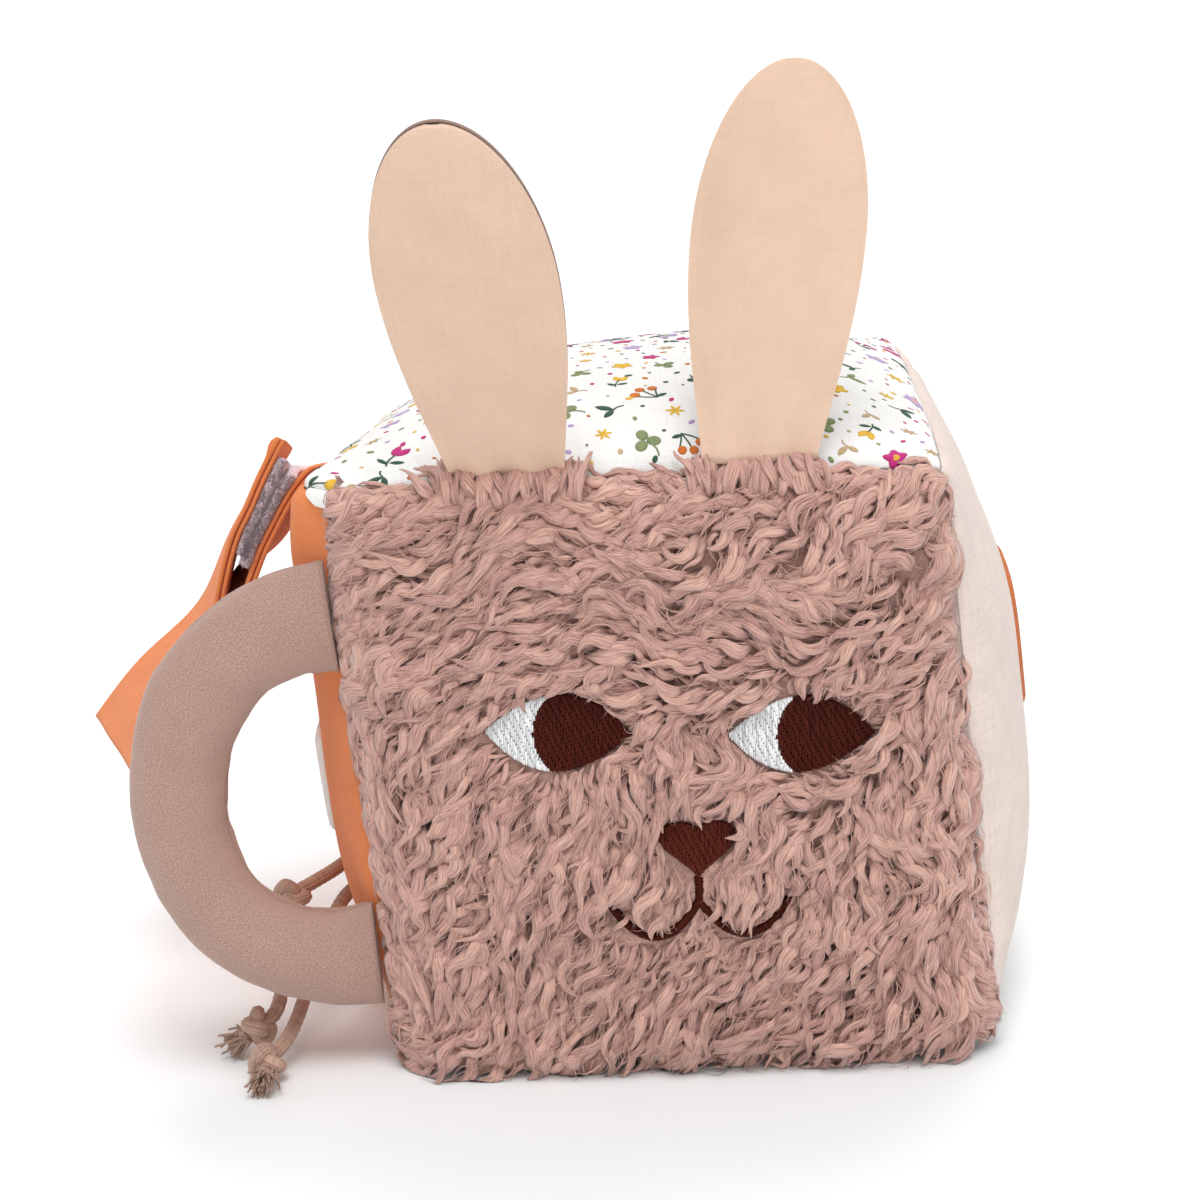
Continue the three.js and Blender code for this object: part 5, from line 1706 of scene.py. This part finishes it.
def crest_lines():
    """Rows of locks that stand up over each ear's foot: places across, places up, turn from the flow."""
    layout, top = crest_layout, panels["front"].rise[-1]
    lines = []
    for place in ear_places.values():
        middle = place["middle"] + lean_share * ear_rise
        half = ear_base_width * layout["half_share"]
        for drop, turn in layout["rows"]:
            across = np.arange(middle - half, middle + half, layout["spacing"])
            lines.append((across, np.full(across.shape, top - drop), turn))
    return lines


def fringe_lines():
    """Rows of locks along the seams of the face: places across, places up, turn from the flow."""
    layout, front = fringe_layout, panels["front"]
    along = np.arange(front.side[0], front.side[-1], layout["spacing"])
    up = np.arange(front.rise[0], front.rise[-1], layout["spacing"])
    return (
        (along, np.full(along.shape, front.rise[-1] - layout["top"]), -0.65),
        (along, np.full(along.shape, front.rise[-1] - layout["second"]), -0.35),
        (np.full(up.shape, front.side[-1] - layout["right"]), up, 0.55),
        (np.full(up.shape, front.side[0] + layout["left"]), up, -0.7),
        (along, np.full(along.shape, front.rise[0] + layout["low"]), 0.3),
        (along, np.full(along.shape, front.rise[0] + layout["lowest"]), 0.3),
    )


def jittered(chance, side, rise, side_reach, rise_reach):
    """Places shifted a little at random."""
    side = side + chance.normal(0, side_reach, side.shape)
    rise = rise + chance.normal(0, rise_reach, rise.shape)
    return side, rise


def row_locks(chance, lines, side_reach, rise_reach, size):
    """Locks along rows."""
    return gathered([
        loose_locks(*jittered(chance, across, up, side_reach, rise_reach), chance, size, turn)
        for across, up, turn in lines
    ])


def long_locks(chance):
    """The long curly pile, shorter and finer round the mouth."""
    side, rise = strewn(chance, lock_layout["spacing"], lock_layout["margin"])
    locks = loose_locks(side, rise, chance)
    short = near_mouth(side, rise)
    for key, share in mouth_cut_shares.items():
        locks[key] = locks[key] * (1 - share * short)
    return locks


def under_locks(chance):
    """Slim locks at every height, which fill the gaps of the long ones."""
    layout = under_layout
    side, rise = strewn(chance, layout["spacing"], layout["margin"])
    locks = loose_locks(side, rise, chance, layout["size_share"])
    locks["turned"] = locks["turned"] + chance.normal(0, layout["turn"], len(side))
    locks["radius"] = locks["radius"] * 0.7
    locks["height"] = chance.uniform(*layout["height"], len(side))
    return locks


def collar_locks(chance):
    """Short locks close round the stitching, brushed away from it."""
    layout = collar_layout
    side, rise, outward = collar_places()
    turn = (outward - flow_heading(side, rise) + math.pi) % (2 * math.pi) - math.pi
    shifted = jittered(chance, side, rise, layout["jitter"], layout["jitter"])
    locks = loose_locks(*shifted, chance, layout["size_share"])
    locks["height"] = chance.uniform(*layout["height"], len(side))
    locks["root"] = np.full(len(side), 0.75)
    locks["turned"] = locks["turned"] + turn * eased(np.abs(turn), 0.7, 1.2)
    locks["hook"] = locks["hook"] * 0.4
    locks["radius"] = locks["radius"] * 0.8
    return locks


def crest_locks(chance):
    """Tall locks over the feet of the ears."""
    layout = crest_layout
    locks = row_locks(chance, crest_lines(), *layout["jitter"], layout["size_share"])
    locks["height"] = chance.uniform(*layout["height"], len(locks["side"]))
    locks["hook"] = locks["hook"] * 0.5
    return locks


def loose_hairs(chance):
    """Single fine hairs that stand out of the pile."""
    layout = hair_layout
    side, rise = strewn(chance, layout["spacing"])
    hairs = loose_locks(side, rise, chance, layout["size_share"])
    hairs["turned"] = hairs["turned"] + chance.normal(0, layout["turn"], len(side))
    hairs["radius"] = chance.uniform(*layout["radius"], len(side))
    hairs["height"] = chance.uniform(*layout["height"], len(side))
    hairs["flat"] = np.ones(len(side))
    return hairs


def add_bed():
    """A bed of short pile under the locks."""
    front = panels["front"]
    columns = np.linspace(front.side[0], front.side[-1], bed["steps"])
    rows = np.linspace(front.rise[0], front.rise[-1], bed["steps"])
    side, rise = np.meshgrid(columns, rows)
    edge = np.minimum(front.side[-1] - np.abs(side), front.rise[-1] - rise)
    place = np.stack([side, rise, np.zeros_like(side)], axis=-1)
    bumps = ripple(place.reshape(-1, 3), bed["bump_wave"], 303).reshape(side.shape)
    height = bed["base"] + (bed["pile"] + bed["bump"] * bumps) * ease(edge / bed["edge_run"])
    outer = front.at(side, rise, height)
    inner = front.at(side, rise, bed["under"])
    outer[..., 2] = np.maximum(outer[..., 2], bed["outer_floor_gap"])
    inner[..., 2] = np.maximum(inner[..., 2], bed["inner_floor_gap"])
    points, quads = slab(outer, inner)
    turn = bed["flow_turn"]
    along_flow = side * math.cos(turn) + rise * math.sin(turn)
    across_flow = side * math.sin(turn) - rise * math.cos(turn)
    marks = np.stack([across_flow * 0.5, along_flow, 0.5 + 0.4 * bumps], axis=-1).reshape(-1, 3)
    # Painted shade: the bed lies deep under the locks and is darkened all over, less so round the mouth,
    # where it shows between short locks.
    shares = 0.28 + 0.3 * near_mouth(side, rise).ravel()
    add_pile("plush_bed", points, quads, both_sides(marks), both_sides(shares))


def add_plush():
    """The curly pile of the face, open round the embroidery, over a bed of short pile."""
    chance = np.random.default_rng(31)
    add_locks("plush_locks", long_locks(chance), 3)
    tufts = gathered([under_locks(chance), collar_locks(chance)])
    add_locks("plush_tufts", tufts, 2, shortest=shortest_tuft)
    jitter, size = fringe_layout["jitter"], fringe_layout["size_share"]
    fringe = row_locks(chance, fringe_lines(), jitter, jitter, size)
    add_locks("plush_fringe", gathered([fringe, crest_locks(chance)]), 1)
    add_locks("plush_hairs", loose_hairs(chance), 1, sides=hair_sides)
    add_bed()


add_plush()


# Ears


ear_folds = {
    "wave": 0.009, "depth": 0.0005, "base_depth": 0.0007, "edge_wave": 0.0035, "edge_depth": 0.00035,
}
ear_rim_share = 0.14
ear_tip_rim_share = 0.05
film_form = {"least": 0.00013, "wave": 0.004}


def ear_half_width(share):
    climb = np.clip(share / ear_widest_share, 0, 1)
    flare = np.sin(climb * math.pi / 2) ** ear_flare_power
    rising = ear_base_width / 2 + (ear_width - ear_base_width) / 2 * flare
    fall = np.clip((share - ear_widest_share) / (1 - ear_widest_share), 0, 1)
    return np.where(share < ear_widest_share, rising, ear_width / 2 * np.sqrt(1 - fall ** 2))


def ear_surface(share, across, front, depth, inset, ear_length, lift=0.0):
    """Points of an ear in its own frame: base on the ground, front towards -Y."""
    tip_fall = np.minimum(1, (1 - share) / ear_tip_taper_share)
    base_fall = ear_base_puff_share + (1 - ear_base_puff_share) * np.minimum(1, share / ear_base_taper_share)
    puff = ear_puff * (1 - across ** 2) * np.sqrt(tip_fall) * base_fall
    thickness = np.maximum(clearance / 2 + cloth_thickness + puff - depth + lift, 0)
    half = np.maximum(ear_half_width(share) - inset, ear_tip_width / 2)
    return np.stack([across * half, front * thickness, share * ear_length], axis=-1)


def ear_matrix(side):
    place = ear_places[side]
    shear = Matrix.Identity(4)
    shear[0][2] = math.tan(math.radians(place["splay"]))
    turn = Matrix.Rotation(math.radians(place["fold"]), 4, "X")
    return Matrix.Translation((place["middle"], ear_along, ear_rise)) @ turn @ shear


def moved(points, matrix):
    turn = np.array(matrix.to_3x3())
    return points @ turn.T + np.array(matrix.translation)


def add_ear(side, seed):
    """A front and a back cloth sewn at the rim, with soft folds from the base and puckers at the seam."""
    rows, columns = 72, 40
    share = np.sin(np.linspace(0, 1, rows) * math.pi / 2)[:, None] * ear_top_share
    across = np.sin(np.linspace(-1, 1, columns) * math.pi / 2)[None, :]
    share, across = np.broadcast_arrays(share, across)
    ear_length = ear_places[side]["length"]
    flat = np.stack([across * ear_half_width(share), np.zeros_like(share), share * ear_length], axis=-1)
    matrix = ear_matrix(side)
    rim = np.clip((1 - np.abs(across)) / ear_rim_share, 0, 1)
    rim = rim * np.clip((ear_top_share - share) / ear_tip_rim_share, 0, 1)
    # The ears' backs take the darker copy of the taupe cotton, as painted shade.
    for name, front, look, slot in (
        ("front", -1, "beige", "beige_cotton"),
        ("back", 1, "ear_back", "taupe_cotton"),
    ):
        folds = ripple((flat * (1, 1, 0.35)).reshape(-1, 3), ear_folds["wave"], seed + (front > 0))
        folds = ear_folds["depth"] * folds.reshape(share.shape)
        base_folds = np.cos(across * 7.5 + seed) * np.exp(-share / 0.16)
        edge = line_ripple(share * ear_length, ear_folds["edge_wave"], seed + 5)
        edge = edge * np.exp(-(1 - np.abs(across)) / 0.12)
        lift = folds * rim + ear_folds["base_depth"] * base_folds * rim
        lift = lift + ear_folds["edge_depth"] * edge * rim
        outer = ear_surface(share, across, front, 0, 0, ear_length, lift)
        inner = ear_surface(share, across, front, cloth_thickness, 0, ear_length)
        inner[..., 1] = front * np.maximum(np.abs(inner[..., 1]), clearance / 2)
        points, quads = slab(outer, inner)
        marks = both_sides(flat[..., [0, 2, 1]].reshape(-1, 3))
        add_piece(
            f"ear_{side}_{name}_cloth", moved(points, matrix), quads, looks[look], f"ear_{side}",
            [f"ear_{side}_{name}"], marks,
        )
    layers = [film_layer(share, across, front, ear_length, seed) for front in (-1, 1)]
    points, quads = slab(*layers)
    add_piece(
        f"ear_{side}_film", moved(points, matrix), quads, looks["film"], f"ear_{side}",
        [f"ear_{side}_crinkle"],
    )


def film_layer(share, across, front, ear_length, seed):
    """One side of the crinkled film inside an ear."""
    inset = cloth_thickness * 2
    layer = ear_surface(share, across, front, cloth_thickness + clearance, inset, ear_length)
    layer[..., 1] = front * np.maximum(np.abs(layer[..., 1]) - clearance / 2, film_form["least"])
    layer[..., 2] = cloth_thickness + layer[..., 2] * (1 - inset * 2 / ear_length)
    crumple = ripple(layer.reshape(-1, 3), film_form["wave"], seed + 9).reshape(share.shape)
    layer[..., 1] *= 0.9 + 0.1 * crumple
    return layer


add_ear("left", 41)
add_ear("right", 61)


# Grab handle


def handle_points(ring_share, angle, depth, offset, lift=0.0):
    """Points of the stuffed half ring at a share of its length and an angle round its band."""
    start = math.asin(clearance * 2 / handle_radius)
    turn = math.pi / 2 + start + ring_share * (math.pi - start * 2)
    endward = np.abs(ring_share * 2 - 1)
    taper = np.maximum(0, 1 - (1 - endward) / handle_taper_share) ** handle_taper_power
    half_thick = (handle_thickness + (handle_end_thickness - handle_thickness) * taper) / 2
    half_band = handle_band / 2 * (1 + handle_end_flare_share * taper)
    off_turn = (np.degrees(turn) - handle_sag_turn) / handle_sag_spread
    middle_radius = handle_radius + handle_sag * np.exp(-off_turn ** 2)
    radial = middle_radius + (half_band - depth + lift) * np.cos(angle)
    y = handle_centre.y + (half_thick - depth + lift) * np.sin(angle) + offset
    x = handle_centre.x + radial * np.cos(turn)
    z = handle_centre.z + radial * np.sin(turn)
    return np.stack([x - lean_share * z, y, z], axis=-1)


handle_form = {
    "outer_wave": 0.0032, "outer_depth": 0.00035, "inner_wave": 0.0036, "inner_depth": 0.00045,
    "broad_wave": 0.013, "broad_depth": 0.0004, "broad_girth": 0.03, "seam_depth": 0.0006,
    "cover_girth": 0.032, "lump_wave": 0.006,
}
filling_start_share = 0.05
seam_rim_share = 0.06


def handle_lift(share, step, side):
    """Puckers along both seams of the handle, and soft waves between them."""
    form = handle_form
    arc = share * math.pi * handle_radius
    seam = np.minimum(step, 1 - step)
    outer_pucker = line_ripple(arc, form["outer_wave"], 71 + side) * np.exp(-step / 0.12)
    inner_pucker = line_ripple(arc, form["inner_wave"], 75 + side) * np.exp(-(1 - step) / 0.2)
    place = np.stack([arc, step * form["broad_girth"], share * 0], axis=-1).reshape(-1, 3)
    broad = ripple(place, form["broad_wave"], 79 + side).reshape(share.shape)
    rim = np.clip(seam / seam_rim_share, 0, 1)
    lift = form["outer_depth"] * outer_pucker * rim + form["inner_depth"] * inner_pucker * rim
    lift = lift + form["broad_depth"] * broad * rim
    return lift - form["seam_depth"] * np.exp(-seam / 0.02)


def add_handle_cover(name, side, share, step):
    """One cloth half of the handle."""
    angle = side * math.pi * step
    offset = side * clearance / 2
    outer = handle_points(share, angle, 0, offset, handle_lift(share, step, side))
    inner = handle_points(share, angle, cloth_thickness, offset)
    points, quads = slab(outer, inner)
    arc = share * math.pi * handle_radius
    marks = np.stack([arc, step * handle_form["cover_girth"], np.zeros_like(arc)], axis=-1).reshape(-1, 3)
    add_piece(
        f"handle_{name}_cloth", points, quads, looks["brushed"], "handle",
        [f"handle_{name}_cover"], both_sides(marks),
    )


def add_handle_filling():
    """The lumpy filling of the handle."""
    count, sides = 60, 24
    share = np.linspace(filling_start_share, 1 - filling_start_share, count)[:, None]
    angle = np.linspace(0, 2 * math.pi, sides, endpoint=False)[None, :]
    share, angle = np.broadcast_arrays(share, angle)
    rings = handle_points(share, angle, cloth_thickness + clearance * 1.5, 0)
    middle = rings.mean(axis=1, keepdims=True)
    lumps = ripple(rings.reshape(-1, 3), handle_form["lump_wave"], 83).reshape(share.shape)
    rings = middle + (rings - middle) * (0.97 + 0.03 * lumps)[..., None]
    points = np.concatenate([rings.reshape(-1, 3), rings[[0, -1]].mean(axis=1)])
    quads = facing_out(points, closed_ends(count, sides))
    filling = add_piece(
        "handle_filling", points, quads, looks["fluff"], "handle", ["handle_stuffing"],
    )


def add_handle():
    """Two cloth halves with a seam round the outer edge, and the filling inside."""
    share = np.linspace(0, 1, 110)[:, None]
    step = np.linspace(0, 1, 22)[None, :]
    share, step = np.broadcast_arrays(share, step)
    for name, side in (("front", -1), ("back", 1)):
        add_handle_cover(name, side, share, step)
    add_handle_filling()


add_handle()


# Folding flap


def leaf_points(leaf, back_share, low_share, depth, bulge):
    """Points of a leaf. The bulge is how far the cloth stands out from the straight line at a place."""
    top = leaf["top_front"] + (leaf["top_back"] - leaf["top_front"]) * back_share[..., None]
    low = leaf["low_front"] + (leaf["low_back"] - leaf["low_front"]) * back_share[..., None]
    point = top + (low - top) * low_share[..., None]
    across = leaf["top_back"] - leaf["top_front"] + leaf["low_back"] - leaf["low_front"]
    outward = unit(np.cross(np.broadcast_to(across, top.shape), low - top))
    return point + outward * (depth + bulge)[..., None]


def one_leaf_point(leaf, back_share, low_share, depth):
    back, down, out = (np.array([float(value)]) for value in (back_share, low_share, depth))
    return leaf_points(leaf, back, down, out, 0)[0]


def leaf_bend(back_share, low_share):
    """Both leaves curl in at their front edge, and are dented halfway down."""
    frontward = 1 - ease(back_share / flap_peel_share)
    curl_start = ease((low_share - leaf_curl["start_share"]) / leaf_curl["rise_share"])
    curl_end = ease((1 - low_share) / (1 - leaf_curl["end_share"]))
    off_dent = (low_share - leaf_dent["place_share"]) / leaf_dent["spread_share"]
    dent = leaf_dent["depth"] * np.exp(-off_dent ** 2) * (1 - frontward)
    return leaf_curl["depth"] * frontward * curl_start * curl_end + dent


def inner_bulge(back_share, low_share):
    """The inner leaf arches out of the seam, less so at its front edge and towards its back."""
    frontward = 1 - ease(back_share / flap_peel_share)
    backward = ease((back_share - flap_peel_share) / (1 - flap_peel_share))
    ridge_share = 1 - inner_arch["peel_share"] * frontward - inner_arch["fall_share"] * backward
    slow_share = inner_arch["rise_share"] * (1 + 4 * backward)
    rise = 1 - np.exp(-np.maximum(low_share, 0) / slow_share)
    arch = inner_arch["height"] * ridge_share * rise * (1 - low_share)
    belly = leaf_belly["depth"] * ease((back_share - leaf_belly["start_share"]) / leaf_belly["run_share"])
    belly = belly * ease((low_share - 0.26) / 0.18) * np.minimum(1, 2 * (1 - low_share))
    return arch + belly - leaf_bend(back_share, low_share)


def outer_bulge(back_share, low_share):
    arch = np.sin(math.pi * np.maximum(low_share, 0) ** outer_arch["power"]) * (1 - back_share)
    return outer_arch["height"] * arch - leaf_bend(back_share, low_share)


inner_leaf = {name: np.array(corner) for name, corner in flap_corners.items()}
hinge_back_rise = inner_leaf["top_back"][2] - hinge_sink - middle_rise
inner_leaf["top_back"] = panels["left"].at(flap_back, hinge_back_rise, clearance * 2)
leaf_thickness = leaf_cloth_thickness * 2 + clearance
leaf_length = float(np.linalg.norm(inner_leaf["low_front"] - inner_leaf["top_front"]))
outer_top_offset = flap_opening + leaf_thickness + tape_thickness
outer_fold_offset = flap_fold_gap + leaf_thickness
outer_leaf = {
    "top_front": one_leaf_point(inner_leaf, 0, -flap_lip * hem_share / leaf_length, outer_top_offset * 0.96),
    "top_back": one_leaf_point(inner_leaf, 1, 0, outer_top_offset) + np.array(flap_droop),
    "low_front": one_leaf_point(inner_leaf, 0, 1, outer_fold_offset),
    "low_back": one_leaf_point(inner_leaf, 1, 1, outer_fold_offset),
}
leaf_width = flap_back - flap_front


sheet_form = {
    "wrinkle_wave": 0.016, "wrinkle": 0.0005, "wrinkle_start": 0.008, "edge_wave": 0.009,
    "edge_wrinkle": 0.00035, "edge_run": 0.006, "groove_place": 0.0042, "groove_width": 0.0007,
    "roll_place": 0.002, "roll_width": 0.002, "round_off": 0.0007, "fuzz_wave": 0.0007,
}
hem_depth = 0.0004
hem_roll = 0.0007
tape_fuzz = 0.00008
sheet_overlap = 0.00003


def sheet_wrinkles(place, back, down, seed):
    """Soft wrinkles that start below the seam, and ripples along the front edge."""
    form = sheet_form
    wrinkle = form["wrinkle"] * ripple(place.reshape(-1, 3), form["wrinkle_wave"], seed).reshape(back.shape)
    wrinkle = wrinkle * np.clip(down * leaf_length / form["wrinkle_start"], 0, 1)
    edge = form["edge_wrinkle"] * line_ripple(down * leaf_length, form["edge_wave"], seed + 1)
    return wrinkle + edge * np.exp(-back * leaf_width / form["edge_run"])


def leaf_sheet(leaf, bulge, low, high, back_shares, low_shares, seed, hem=0.0, roll=0.0, fuzz=0.0):
    """A cloth of a leaf, with a stitched groove inside its edge and a rolled hem at its top."""
    form = sheet_form
    back = np.linspace(*back_shares, 64)[None, :]
    down = np.linspace(*low_shares, 72)[:, None]
    back, down = np.broadcast_arrays(back, down)
    place = np.stack([back * leaf_width, down * leaf_length, np.zeros_like(back)], axis=-1)
    from_side = np.minimum(back - back_shares[0], back_shares[1] - back) * leaf_width
    from_end = np.minimum(down - low_shares[0], low_shares[1] - down) * leaf_length
    edge = np.minimum(from_side, from_end)
    groove = hem * np.exp(-((edge - form["groove_place"]) / form["groove_width"]) ** 2)
    from_top = (down - low_shares[0]) * leaf_length
    rolled = roll * np.exp(-((from_top - form["roll_place"]) / form["roll_width"]) ** 2)
    round_off = 0.55 + 0.45 * np.clip(edge / form["round_off"], 0, 1) ** 0.5
    stand = bulge(back, down) + sheet_wrinkles(place, back, down, seed)
    mat = ripple(place.reshape(-1, 3), form["fuzz_wave"], seed + 4).reshape(back.shape)
    half = (high - low) / 2 + fuzz * mat
    outer = leaf_points(leaf, back, down, (low + high) / 2 + half * round_off - groove + rolled, stand)
    inner = leaf_points(leaf, back, down, (low + high) / 2 - half * round_off - rolled * 0.3, stand)
    points, quads = slab(outer, inner)
    return points, quads, both_sides(place.reshape(-1, 3))


def tape_nap(leaf, bulge, low, high, tape_shares, seed):
    """Fine hairs that stand out of a tape's front edge."""
    chance = np.random.default_rng(seed + 40)
    count = nap_hair["count"]
    down = chance.uniform(*tape_shares, count)
    depth = chance.uniform(low, high, count)
    reach = nap_hair["reach"] * chance.uniform(0.4, 1, count)
    aside = nap_hair["reach"] * chance.normal(0, 0.5, count)
    lift = nap_hair["reach"] * chance.normal(0, 0.35, count)
    rings = []
    for share in (-0.3, 0.3, 0.7, 1.0):
        back = -reach * share / leaf_width
        along = down + aside * share ** 2 / leaf_length
        rings.append(leaf_points(leaf, back, along, depth + lift * share, bulge(np.zeros(count), along)))
    paths = np.stack(rings, axis=1)
    return [tube(line, nap_hair["radius"], 3, seed_direction=(0, 0, 1)) for line in paths]


def add_leaf_cloths():
    """The four cloths of the flap, two for each leaf."""
    whole = (0, 1)
    inward = leaf_cloth_thickness + clearance
    lift = clearance / 2 - sheet_overlap
    leaves = (("inner", inner_leaf, inner_bulge, 91), ("outer", outer_leaf, outer_bulge, 92))
    for leaf_name, leaf, bulge, seed in leaves:
        cloths = [("lining", 0), ("leaf", inward)]
        for cloth, low in cloths if leaf_name == "inner" else cloths[::-1]:
            node_name = f"flap_{leaf_name}_{cloth}"
            roll = hem_roll if node_name == "flap_outer_leaf" else 0.0
            bottom = low - lift if low > 0 else low
            top = low + leaf_cloth_thickness + (0 if low > 0 else lift)
            points, quads, marks = leaf_sheet(
                leaf, bulge, bottom, top, whole, whole, seed, hem=hem_depth, roll=roll,
            )
            name, body = f"{node_name}_cloth", f"flap_{leaf_name}"
            look = looks["orange"]
            piece = add_piece(name, points, quads, look, body, [node_name], marks)


def add_leaf_tapes():
    """The hook tape and the loop tape that face each other between the leaves."""
    low_shares = (tape_margin / leaf_length, (tape_margin + tape_width) / leaf_length)
    back_shares = (0, 1 - tape_margin / leaf_width)
    mat = flap_mat_thickness
    loop_base = leaf_thickness + clearance / 3
    tapes = [
        ("loop", inner_leaf, inner_bulge, loop_base, "flap_inner", 91),
        ("hook", outer_leaf, outer_bulge, -clearance / 3 - mat, "flap_outer", 92),
    ]
    for name, leaf, bulge, low, body, seed in tapes:
        mat_part = leaf_sheet(leaf, bulge, low, low + mat, back_shares, low_shares, seed, fuzz=tape_fuzz)
        hairs = tape_nap(leaf, bulge, low, low + mat, low_shares, seed)
        points, quads, marks = joined([mat_part] + hairs)
        node_name = f"flap_{name}_tape"
        add_piece(f"{node_name}_mat", points, quads, looks["lilac"], body, [node_name], marks)


def add_flap():
    add_leaf_cloths()
    add_leaf_tapes()


add_flap()


# Patches sewn to the sides


patch_lift = 0.0001
patch_rim_share = 0.06


def rounded_place(share, other, half, power):
    near, far = share * 2 - 1, other * 2 - 1
    return half * near * (1 - np.abs(far) ** power / 2) ** (1 / power)


def add_patch(name, face, place, thickness, look, node_name):
    """A patch that follows the swell of a side: place gives (side, rise) for two shares."""
    share = np.linspace(0, 1, 28)
    side_share, rise_share = np.meshgrid(share, share)
    side, rise = place(side_share, rise_share)
    panel = panels[face]
    edge = np.minimum(np.minimum(side_share, 1 - side_share), np.minimum(rise_share, 1 - rise_share))
    height = thickness(side_share, rise_share) * np.clip(edge / patch_rim_share, 0, 1) ** 0.5
    outer = panel.at(side, rise, clearance + height)
    inner = panel.at(side, rise, patch_lift)
    points, quads = slab(outer, inner)
    marks = np.stack([side, rise, np.zeros_like(side)], axis=-1).reshape(-1, 3)
    add_piece(name, points, quads, looks[look], "block", [node_name], both_sides(marks))


def even(thickness):
    """One thickness for a whole patch."""
    return lambda side_share, rise_share: np.full_like(side_share, thickness)


def padded_place(side_share, rise_share):
    along = rounded_place(side_share, rise_share, side_patch["width"] / 2, 6)
    up = rounded_place(rise_share, side_share, side_patch["height"] / 2, 6)
    return side_patch["along"] + along, side_patch["rise"] - middle_rise + up


def padded_thickness(side_share, rise_share):
    fall = np.maximum(np.abs(side_share * 2 - 1), np.abs(rise_share * 2 - 1))
    return side_patch["rim"] + (side_patch["thickness"] - side_patch["rim"]) * (1 - fall ** 4)


def tape_place(side_share, rise_share):
    return (
        side_tape["along"] + side_tape["width"] * (side_share - 0.5),
        side_tape["rise"] - middle_rise + side_tape["height"] * (rise_share - 0.5),
    )


def disc_place(side_share, rise_share):
    return (
        applique["along"] + rounded_place(side_share, rise_share, applique["radius"], 2),
        applique["rise"] - middle_rise + rounded_place(rise_share, side_share, applique["radius"], 2),
    )


def corner_place(side_share, rise_share):
    """The top's white cloth comes over the orange side at the front corner."""
    left = panels["left"]
    narrow = 1 - (1 - rise_share) ** 2 * 0.55
    return (
        left.side[0] + corner_cloth["width"] * side_share * narrow,
        left.rise[-1] - corner_cloth["height"] * (1 - rise_share),
    )


def add_patches():
    """The padded patch, the tape, the disc and the turned-over corner."""
    disc, corner = even(applique["thickness"]), even(corner_cloth["thickness"])
    for name, face, place, thickness, look, slot, node_name in (
        ("side_patch_cloth", "left", padded_place, padded_thickness, "white", "white_cotton", "side_patch"),
        ("side_tape_mat", "left", tape_place, even(tape_thickness), "lilac", "lilac_tape", "side_loop_tape"),
        ("round_applique", "right", disc_place, disc, "terracotta", "terracotta_cotton", "right_applique"),
        ("corner_cloth", "left", corner_place, corner, "white", "printed_cotton", "top_panel"),
    ):
        add_patch(name, face, place, thickness, look, node_name)


add_patches()


# Filling and rattle


def add_filling():
    """The fibre filling in two lumpy layers, and the rattle's plastic."""
    for name, node_name in (("filling_lower", "stuffing_lower"), ("filling_upper", "stuffing_upper")):
        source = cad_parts[node_name]
        piece = bpy.data.objects.new(name, source.data.copy())
        piece.data.materials.clear()
        piece.data.materials.append(looks["fluff"])
        bpy.context.scene.collection.objects.link(piece)
        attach(piece, "block")
        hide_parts(node_name)
    for node_name in ("rattle_shell_lower", "rattle_shell_upper", "rattle_ball"):
        for material_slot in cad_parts[node_name].material_slots:
            material_slot.material = looks["plastic"]


add_filling()


# Floor and light


floor_reach = 20.0
floor_colour = (0.925, 0.955, 0.965, 1.0)
studio_strength = 0.54
# Each light's side, height, strength and softness, the angles in degrees
suns = {"key": (0, 66, 1.37, 32), "fill": (22, 38, 0.40, 60), "back": (176, 61, 1.02, 32)}


def add_sun(name, azimuth, elevation, strength, softness):
    """A broad soft light from far away. Azimuth 0 is in front of the face, and positive is to its right."""
    data = bpy.data.lights.new(name, "SUN")
    data.energy = strength
    data.angle = math.radians(softness)
    light = bpy.data.objects.new(name, data)
    bpy.context.scene.collection.objects.link(light)
    turn, climb = math.radians(azimuth), math.radians(elevation)
    level = math.cos(climb)
    toward = Vector((math.sin(turn) * level, -math.cos(turn) * level, math.sin(climb)))
    light.rotation_euler = toward.to_track_quat("Z", "Y").to_euler()


def add_stage():
    """A plain pale floor under soft studio light."""
    material, tree, output = start_material("floor")
    surface = node(tree, "ShaderNodeBsdfDiffuse", {"Color": floor_colour})
    tree.links.new(surface.outputs[0], output.inputs[0])
    mesh = bpy.data.meshes.new("floor")
    signs = ((-1, -1), (1, -1), (1, 1), (-1, 1))
    corners = [(across * floor_reach, along * floor_reach, 0) for across, along in signs]
    mesh.from_pydata(corners, [], [(0, 1, 2, 3)])
    mesh.materials.append(material)
    floor = bpy.data.objects.new("floor", mesh)
    bpy.context.scene.collection.objects.link(floor)
    world = bpy.data.worlds.new("studio")
    world.use_nodes = True
    background = world.node_tree.nodes["Background"].inputs
    background["Color"].default_value = (1.0, 1.0, 1.0, 1.0)
    background["Strength"].default_value = studio_strength
    bpy.context.scene.world = world
    for name, values in suns.items():
        add_sun(name, *values)
    bpy.context.scene.view_settings.view_transform = "Standard"


add_stage()
